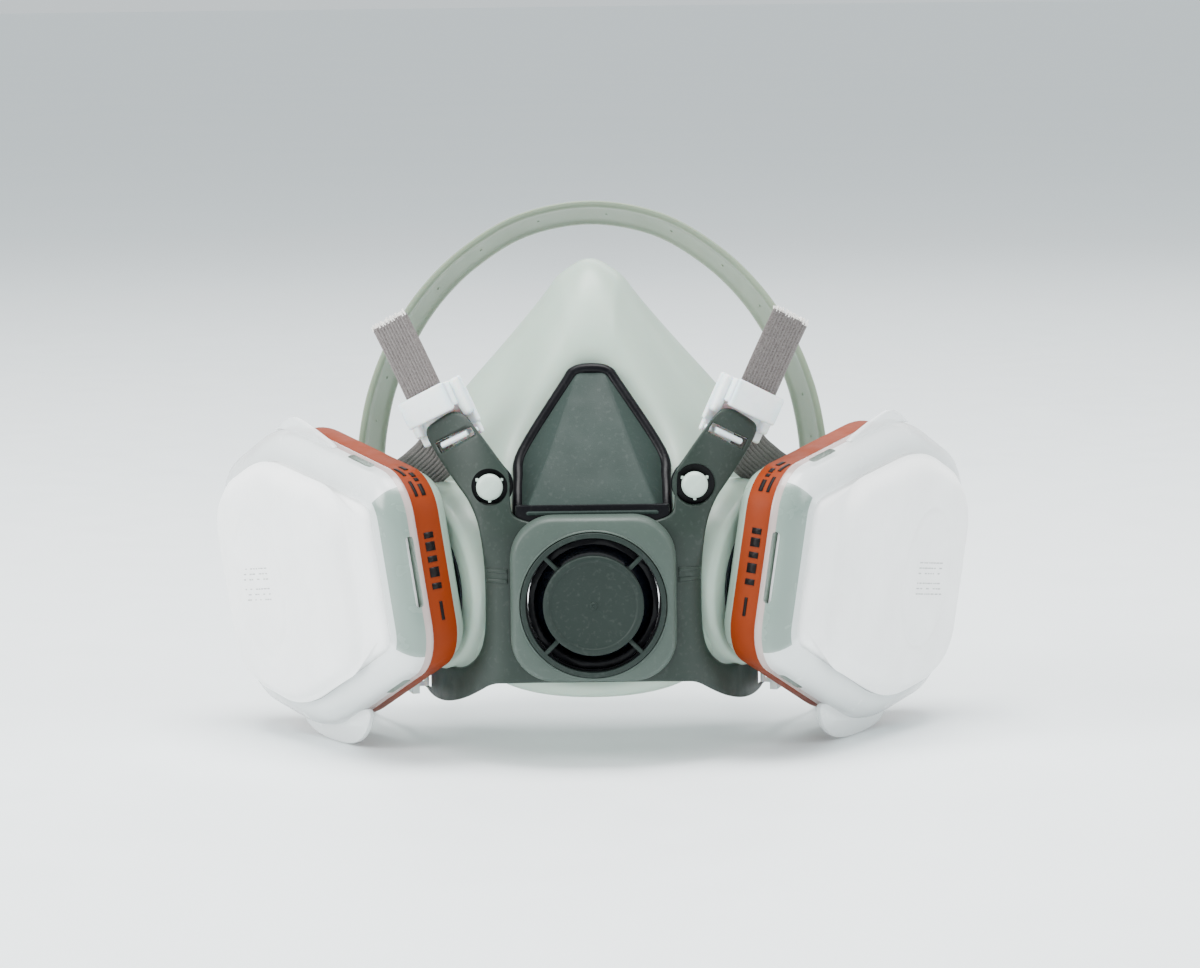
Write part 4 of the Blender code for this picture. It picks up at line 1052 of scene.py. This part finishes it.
def make_retainer(label, side, matrix):
    bm = bmesh.new()
    sections = [cart_ring(inset, height) for inset, height in RETAINER_OUTER + RETAINER_INNER]
    around = len(sections[0])
    add_loft(bm, sections, loop=True)
    # front wall columns take the darker copy, partly shell seen through and partly painted shade;
    # other walls and the lip take the pale one
    turn = CORNER_PARTS // 2
    for i, face in enumerate(bm.faces):
        height = face.calc_center_median().z
        if height < RIM_TOP:
            face.material_index = 1
        elif height > LIP_BOTTOM or turn <= i % around < around - (STRETCH_PARTS + turn):
            face.material_index = 2
    wall = piece("retainer_fine_" + label, bm, (CLEAR, CLEAR_RIM, CLEAR_LIP),
                 "retainer_" + label, ("retainer_" + label,), matrix, 40)
    cutters = []
    for spot, low, high in retainer_windows():
        bm = bmesh.new()
        add_box(bm, low, high, 1.0)
        bmesh.ops.transform(bm, matrix=matrix @ spot, verts=bm.verts)
        cutters.append(mesh_object("window", bm))
    carved(wall, cutters)
    smoothed(wall, 40)
    tabs = bmesh.new()
    for corners, sign in ((BOTTOM_TAB, -1), (TOP_TAB, 1)):
        tab = plate(tab_outline(corners, matrix, side, sign), [], TAB_HIGH - TAB_LOW, 0.45)
        add_part(tabs, tab, Matrix.Translation((0, 0, (TAB_LOW + TAB_HIGH) / 2)))
    piece("retainer_tabs_" + label, tabs, CLEAR_LIP, "retainer_" + label, (),
          matrix, 40)


# Welded edge and raised middle of the felt pad: inset from the outline, height.
PAD_EDGE = ((0.6, 19.6), (0.3, 20.0), (0.4, 21.0), (1.0, 22.3), (2.2, 23.5), (3.8, 24.5),
            (5.4, 25.0), (6.6, 25.2), (6.9, 26.0), (7.3, 26.9), (8.1, 27.6), (9.4, 27.95))
STEP_CORNERS = ((-4.0, -23.0), (37.0, -34.0), (68.0, -25.5), (68.0, 25.5), (37.0, 34.0),
                (-4.0, 23.0))
STEP_CENTRE = (34.0, 0.0)
STEP_EDGE = ((-1.0, 28.2), (-0.2, 28.6), (0.5, 29.3), (1.3, 30.2), (2.3, 31.0), (3.6, 31.6),
             (5.2, 31.95), (7.5, 32.2))
# Pressed oval in the middle: share of its size, height.
OVAL_EDGE = ((1.12, 32.35), (1.05, 32.35), (1.01, 32.1), (0.98, 31.85), (0.95, 31.9),
             (0.91, 32.3), (0.85, 32.4), (0.6, 32.45), (0.3, 32.5), (0.1, 32.5))
OVAL_CENTRE = (43.0, 0.0)
OVAL = (14.0, 20.0)
WAVES = 0.35
WAVES_FROM = 25.5
PRINT_ROWS, PRINT_TOP, PRINT_STEP = 6, 4.0, 1.5
PRINT_START, PRINT_END = 37.0, 51.0


def step_ring(inset, height):
    """Section of the pad's raised middle, point for point with the outline's sections."""
    centre = Vector(STEP_CENTRE)
    corners = []
    for corner in STEP_CORNERS:
        away = Vector(corner) - centre
        corners.append(centre + away * (1 - inset / away.length * 1.15))
    return even_ring(corners, inset - 1.0, height)


def wave(x, y, side):
    """Slight unevenness of the felt's front."""
    return WAVES * noise.noise(Vector((x * 0.06, y * 0.06, side * 3.0)))


def oval_ring(like, scale, height):
    found = []
    centre = Vector((*OVAL_CENTRE, 0))
    for point in like:
        away = point - centre
        turn = math.atan2(away.y / OVAL[1], away.x / OVAL[0])
        found.append(centre + Vector((OVAL[0] * scale * math.cos(turn),
                                      OVAL[1] * scale * math.sin(turn), height)))
    return found


def make_pad(label, side, matrix):
    sections = [cart_ring(8.0, 19.9), cart_ring(2.0, 19.5)]
    sections += [cart_ring(inset, height) for inset, height in PAD_EDGE]
    sections += [step_ring(inset, height) for inset, height in STEP_EDGE]
    like = step_ring(STEP_EDGE[-1][0], 0.0)
    sections += [oval_ring(like, scale, height) for scale, height in OVAL_EDGE]
    bm = bmesh.new()
    add_loft(bm, sections, caps=True)
    for vert in bm.verts:
        if vert.co.z > WAVES_FROM:
            vert.co.z += wave(vert.co.x, vert.co.y, side)
    pad = piece("prefilter_pad_" + label, bm, PAD, "retainer_" + label,
                ("prefilter_" + label,), matrix, 70)
    bm = bmesh.new()
    for row in range(PRINT_ROWS):
        x = PRINT_START
        y = PRINT_TOP - row * PRINT_STEP - (1.2 if row >= PRINT_ROWS / 2 else 0.0)
        while x < PRINT_END:
            length = RNG.uniform(0.5, 1.7)
            top = OVAL_EDGE[-1][1] + wave(x, y, side)
            add_box(bm, (x, y - 0.16, top - 0.15), (x + length, y + 0.16, top + 0.12), 0.05, 1)
            x += length + RNG.choice((0.5, 0.8, 2.4))
    piece("pad_print_" + label, bm, PRINT, "retainer_" + label, (), matrix, 60)


# ---- webbing ----
WEB_WIDTH, WEB_THICK = 12.7, 1.2
RIBS, PER_RIB = 12, 6


def make_webbing(name, path, across, body, cad_node, width=WEB_WIDTH, ribs=RIBS):
    """Ribbed strap along a path in metres, with its width direction at each point."""
    bm = bmesh.new()
    width *= MM
    thick = WEB_THICK * MM
    count = ribs * PER_RIB
    uv = bm.loops.layers.uv.verify()
    rows = []
    travelled = 0.0
    for i, point in enumerate(path):
        side = across[i].normalized()
        normal = side.cross(tangent_at(path, i)).normalized()
        if i:
            travelled += (point - path[i - 1]).length
        ring = []
        for face_sign in (1, -1):
            for k in range(count + 1):
                share = k / count if face_sign > 0 else 1 - k / count
                swell = abs(math.sin(math.pi * share * ribs))
                edge = min(1.0, 8.0 * min(share, 1 - share) + 0.35)
                height = thick / 2 * (0.62 + 0.38 * swell) * edge
                spot = point + side * ((share - 0.5) * width) + normal * (face_sign * height)
                ring.append((bm.verts.new(spot), share, travelled / width))
        rows.append(ring)
    outlines = [(row[k - 1], row[k], following[k], following[k - 1])
                for row, following in zip(rows, rows[1:]) for k in (*range(1, len(row)), 0)]
    for corners in (*outlines, rows[0], rows[-1]):
        face = bm.faces.new([corner[0] for corner in corners])
        for loop, corner in zip(face.loops, corners):
            loop[uv].uv = corner[1:]
    return piece(name, bm, WEBBING, body, (cad_node,), None, 60)


TAIL_LAYER, TAIL_BOTTOM, TAIL_TOP = -1.6, 9.0, 36.0
TAIL_STEPS, THREADS = 40, 46
CURL, CURL_FROM, CURL_RUN = 0.6, 20.0, 18.0
BUCKLE_SHIFT = 4.2              # buckle and webbing lie this far outward of the slot


def make_tail(label, side, slot):
    matrix = slot @ Matrix.Translation((side * BUCKLE_SHIFT, 0, 0))
    spots = []
    for k in range(TAIL_STEPS + 1):
        y = TAIL_BOTTOM + (TAIL_TOP - TAIL_BOTTOM) * k / TAIL_STEPS
        curl = CURL * max(0.0, (y - CURL_FROM) / CURL_RUN) ** 2
        spots.append(matrix @ Vector((0, y, TAIL_LAYER + curl)))
    across = [(matrix.to_3x3() @ Vector((1, 0, 0))).normalized()] * len(spots)
    make_webbing("tail_" + label, spots, across, "strap_tail_" + label, "strap_tail_" + label)
    bm = bmesh.new()
    for k in range(THREADS):
        x = (k / (THREADS - 1) - 0.5) * (WEB_WIDTH - 0.5) + RNG.uniform(-0.15, 0.15)
        lift = TAIL_LAYER + 0.6 + RNG.uniform(-0.35, 0.35)
        reach = RNG.uniform(0.5, 1.3)
        root = matrix @ Vector((x, TAIL_TOP - 0.5, lift))
        tip = matrix @ Vector((x + RNG.uniform(-0.35, 0.35), TAIL_TOP + reach,
                               lift + RNG.uniform(-0.3, 0.3)))
        middle = root.lerp(tip, 0.55)
        add_tube(bm, [root, middle, tip], 0.22, 6)
    piece("tail_threads_" + label, bm, THREAD, "strap_tail_" + label, (), None, 60)


def strap_frames(path, first, last, turn_from):
    """Width directions that start along first and turn to last after a share of the path."""
    across = Vector(first)
    found = []
    for i in range(len(path)):
        share = eased(max(i / (len(path) - 1) - turn_from, 0) / (1 - turn_from))
        tangent = tangent_at(path, i)
        across = (across - tangent * across.dot(tangent)).normalized()
        level = across * (1 - share) + Vector(last) * share
        found.append((level - tangent * level.dot(tangent)).normalized())
    return found


# Points of the hidden straps on the right side, after their start in the buckle.
UPPER_PATH = ((41.0, 34.0, 82.5), (46.2, 45.0, 76.0), (51.2, 56.0, 71.5), (55.5, 68.0, 67.5),
              (58.8, 80.0, 64.5), (60.0, 92.5, 62.0))
NECK_PATH = ((58.0, 74.0, 15.5), (63.0, 87.0, 8.5), (66.5, 99.0, 3.6), (68.5, 110.0, 1.7),
             (70.0, 122.0, 1.4))
NECK_WEB, NECK_RIBS = 8.0, 8
BLEND_END = 8                   # count of path points at each end of a strap


def strap_path(start, side, points):
    """Smooth path in metres from a start in metres through a strap's points."""
    start = start / MM
    start.y -= FRONT_Y
    points = (start, *((side * x, y, z) for x, y, z in points))
    return [place(*p) for p in smooth_path(points, 12)]


def make_upper_strap(label, side, matrix):
    """Live webbing from the back of the upper buckle to the cradle's lower end."""
    path = strap_path(matrix @ Vector((side * BUCKLE_SHIFT, 8.0, -7.9)), side, UPPER_PATH)
    bar = (matrix.to_3x3() @ Vector((side, 0, 0))).normalized()
    across = strap_frames(path, bar, (0, 0, -1), 0.55)
    strap = make_webbing("strap_" + label, path, across, None, "upper_strap_" + label)
    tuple(path[BLEND_END])
    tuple(path[-BLEND_END])
    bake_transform(strap)


def make_neck_strap(label, side, matrix):
    path = strap_path(matrix @ Vector((0, 12.2, 3.4)), side, NECK_PATH)
    across = strap_frames(path, (0, 0, 1), (side * 0.98, -0.2, 0), 0.2)
    make_webbing("neck_webbing_" + label, path, across, "neck_strap_" + label,
                 "neck_strap_" + label, NECK_WEB, NECK_RIBS)


# ---- buckles and clasps ----
# Boxes of the upper buckle: low corner, high corner, rounding.
BUCKLE_PLATES = (((-10.4, 1.6, -6.2), (10.4, 15.1, -4.5), 0.7),
                 ((-8.3, 7.4, -0.8), (8.3, 15.1, 1.0), 0.7))
BUCKLE_WALLS = (((7.4, 4.4, -5.6), (10.3, 14.9, -2.6), 0.9),
                ((6.9, 8.2, -5.2), (8.3, 14.9, 0.6), 0.6))
# Bar in the slot: distance along it, radius.
BUCKLE_BAR = ((-4.9, 0.6), (-4.7, 0.85), (4.7, 0.85), (4.9, 0.6))


def make_upper_buckle(label, side, matrix):
    bm = bmesh.new()
    shell = bmesh.new()
    for low, high, radius in BUCKLE_PLATES:
        add_box(shell, low, high, radius, 4)
    for sign in (-1, 1):
        for low, high, radius in BUCKLE_WALLS:
            add_side_box(shell, sign, low, high, radius, 4)
    add_part(bm, shell, Matrix.Translation((side * BUCKLE_SHIFT, 0, 0)))
    add_box(bm, (-5.6, -1.5, -6.2), (5.6, 2.6, -4.6), 0.6)
    for sign in (-1, 1):
        add_side_box(bm, sign, (3.7, -0.6, -5.2), (4.9, 0.6, 0.3), 0.3, 2)
    add_loft(bm, [[Vector((x, radius * math.cos(t), radius * math.sin(t)))
                   for t in circle_turns(20)] for x, radius in BUCKLE_BAR], caps=True)
    piece("buckle_" + label, bm, BUCKLE, "upper_buckle_" + label,
          ("upper_buckle_" + label,), matrix, 45)


# ---- head cradle ----
CRADLE_PATH = ((65.5, 88.0, 57.0), (66.6, 90.0, 69.0), (65.6, 91.5, 81.0), (62.9, 94.5, 93.5),
               (57.6, 98.0, 106.5), (49.0, 103.0, 119.8), (37.0, 108.0, 131.4),
               (20.5, 112.2, 140.9), (0.0, 114.0, 144.5))
CRADLE_CENTRE = (0.0, 80.0)
CRADLE_IN, CRADLE_BACK = 6.5, 11.0
CRADLE_END, TAPER_RUN = 0.72, 5              # share of its width at its ends, points to full
DOT_FIRST, DOT_EVERY = 6, 8
# Cross-section of the band: share of its width from the front edge, height off its middle.
CRADLE_SECTION = ((0.0, -0.5), (-0.02, 0.0), (0.0, 0.55), (0.03, 1.0), (0.08, 1.15), (0.13, 1.0),
                  (0.16, 0.62), (0.30, 0.5), (0.5, 0.45), (0.7, 0.5), (0.84, 0.62), (0.88, 0.95),
                  (0.93, 1.05), (0.98, 0.85), (1.0, 0.4), (1.01, 0.0), (1.0, -0.5), (0.9, -0.75),
                  (0.5, -0.8), (0.1, -0.75))


def cradle_frames():
    other_half = [(-x, y, z) for x, y, z in reversed(CRADLE_PATH[:-1])]
    path = smooth_path((*CRADLE_PATH, *other_half), 8)
    rear = []
    for point in path:
        inward = Vector((CRADLE_CENTRE[0] - point.x, 0, min(CRADLE_CENTRE[1] - point.z, 0)))
        rear.append(point + inward.normalized() * CRADLE_IN + Vector((0, CRADLE_BACK, 0)))
    return path, rear


# Moulded pin mark on the cradle: share of its radius, height above the band.
DOT_RADIUS = 0.28
DOT_PROFILE = ((1.6, -0.3), (1.4, 0.08), (0.9, 0.22), (0.2, 0.25))


def add_dot(bm, spot, normal, rise):
    side = normal.orthogonal().normalized()
    up = normal.cross(side)
    sections = []
    for share, height in DOT_PROFILE:
        middle = spot + normal * (rise + height)
        sections.append([place(*(middle + (side * math.cos(t) + up * math.sin(t))
                                 * DOT_RADIUS * share)) for t in circle_turns(12)])
    add_loft(bm, sections, caps=True)


def make_cradle():
    front, rear = cradle_frames()
    sections = []
    normals = []
    for i, (a, b) in enumerate(zip(front, rear)):
        width = b - a
        normal = tangent_at(front, i).cross(width).normalized()
        normals.append(normal)
        full = min(i, len(front) - 1 - i) / TAPER_RUN
        taper = min(1.0, CRADLE_END + (1 - CRADLE_END) * full)
        sections.append([place(*(a + width * (0.5 + (share - 0.5) * taper) + normal * height))
                         for share, height in CRADLE_SECTION])
    bm = bmesh.new()
    add_loft(bm, sections, caps=True)
    for i in range(DOT_FIRST, len(front) - DOT_FIRST, DOT_EVERY):
        spot = front[i].lerp(rear[i], 0.5)
        add_dot(bm, spot, normals[i], 0.45)
        add_dot(bm, spot, -normals[i], 0.9)
    piece("cradle_band", bm, CRADLE, "head_harness", ("head_cradle",), None, 45)


# ---- floor, light and camera ----
VIEW_TILT = 7.0                 # degrees that the camera looks down
VIEW_ROLL = 0.7                 # degrees that the object leans in the picture
SCALE = 0.272 * MM              # metres to one of the 1200 pixels across, at the mask
IMAGE_WIDTH = 1200
LENS, SENSOR = 120.0, 36.0
AIM = (2.1, 42.0, 71.6)         # point at the middle of the picture
FLOOR_RADIUS = 60.0
WORLD_COLOUR = (0.86, 0.93, 0.96, 1.0)
# Name, place, target, size and power of each light.
LIGHTS = (("top", (0.0, -0.15, 1.5), (0, 0, 0.05), (1.1, 0.8), 50.0),
          ("left", (-1.3, -0.65, 0.75), (0, 0, 0.06), (0.6, 0.9), 32.0),
          ("right", (1.4, -0.7, 0.8), (0, 0, 0.06), (0.6, 0.9), 12.0),
          ("back", (0.3, 1.4, 1.1), (0, 0, 0.08), (1.2, 0.6), 8.0))


def make_floor():
    bm = bmesh.new()
    bmesh.ops.create_circle(bm, cap_ends=True, segments=128, radius=FLOOR_RADIUS)
    made, tree, shader = new_finish("floor")
    tone = blended(tree, ranged(tree, object_noise(tree, 3.0), 0.0, 1.0), (0.86, 0.91, 0.92),
                   (0.88, 0.92, 0.93))
    connect(tree, shader, tone, ranged(tree, object_noise(tree, 40.0), 0.5, 0.62))
    floor = mesh_object("floor", bm, (made,))
    floor.location.z = -0.0001
    floor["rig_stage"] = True


def make_lights():
    world = bpy.data.worlds.new("studio")
    bpy.context.scene.world = world
    world.use_nodes = True
    background = world.node_tree.nodes["Background"]
    background.inputs["Color"].default_value = WORLD_COLOUR
    background.inputs["Strength"].default_value = 1.0
    for name, spot, target, size, power in LIGHTS:
        light = bpy.data.lights.new(name, "AREA")
        light.shape = "RECTANGLE"
        light.size, light.size_y = size
        light.energy = power
        obj = add_object(name, light)
        obj.location = spot
        aim = Vector(target) - Vector(spot)
        obj.rotation_euler = aim.to_track_quat("-Z", "Y").to_euler()


def make_camera():
    data = bpy.data.cameras.new("camera")
    data.lens = LENS
    data.sensor_width = SENSOR
    distance = SCALE * IMAGE_WIDTH * LENS / SENSOR
    camera = add_object("camera", data)
    tilt = math.radians(VIEW_TILT)
    back = Vector((0, -math.cos(tilt), math.sin(tilt)))
    camera.location = place(*AIM) + back * distance
    turn = (-back).to_track_quat("-Z", "Y").to_matrix().to_4x4()
    roll = Matrix.Rotation(math.radians(-VIEW_ROLL), 4, "Z")
    camera.rotation_euler = (turn @ roll).to_euler()
    bpy.context.scene.camera = camera


# ---- the whole mask ----
make_camera()
make_lights()
make_floor()
make_seal()
refined("nose_panel", PANEL, 0.3, 2, 12.0)
make_panel_edge()
make_housing()
make_dark_parts()
refined("valve_seat", BLACK, 0.2)
make_valve()
make_cover()
make_yoke()
make_cradle()
refined("clasp_hook", BUCKLE, 0.5, 3)
refined("clasp_loop", BUCKLE, 0.5, 3)
for label, side in SIDES:
    cart = cart_matrix(side, label)
    slot = buckle_matrix(label)
    make_stud(label, side)
    make_port(label, port_matrix(side, label))
    make_shell(label, side, cart)
    paint("carbon_bed_" + label, CARBON)
    refined("bed_grille_" + label, SHELL, 0.25)
    make_label(label, side, cart)
    make_retainer(label, side, cart)
    make_pad(label, side, cart)
    make_upper_buckle(label, side, slot)
    make_tail(label, side, slot)
    make_upper_strap(label, side, slot)
    refined("lower_buckle_" + label, BUCKLE, 0.45, 3)
    make_neck_strap(label, side, lower_matrix(side, label))

boxes = [[list(corner) for corner in box] for box in (cad_box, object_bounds())]
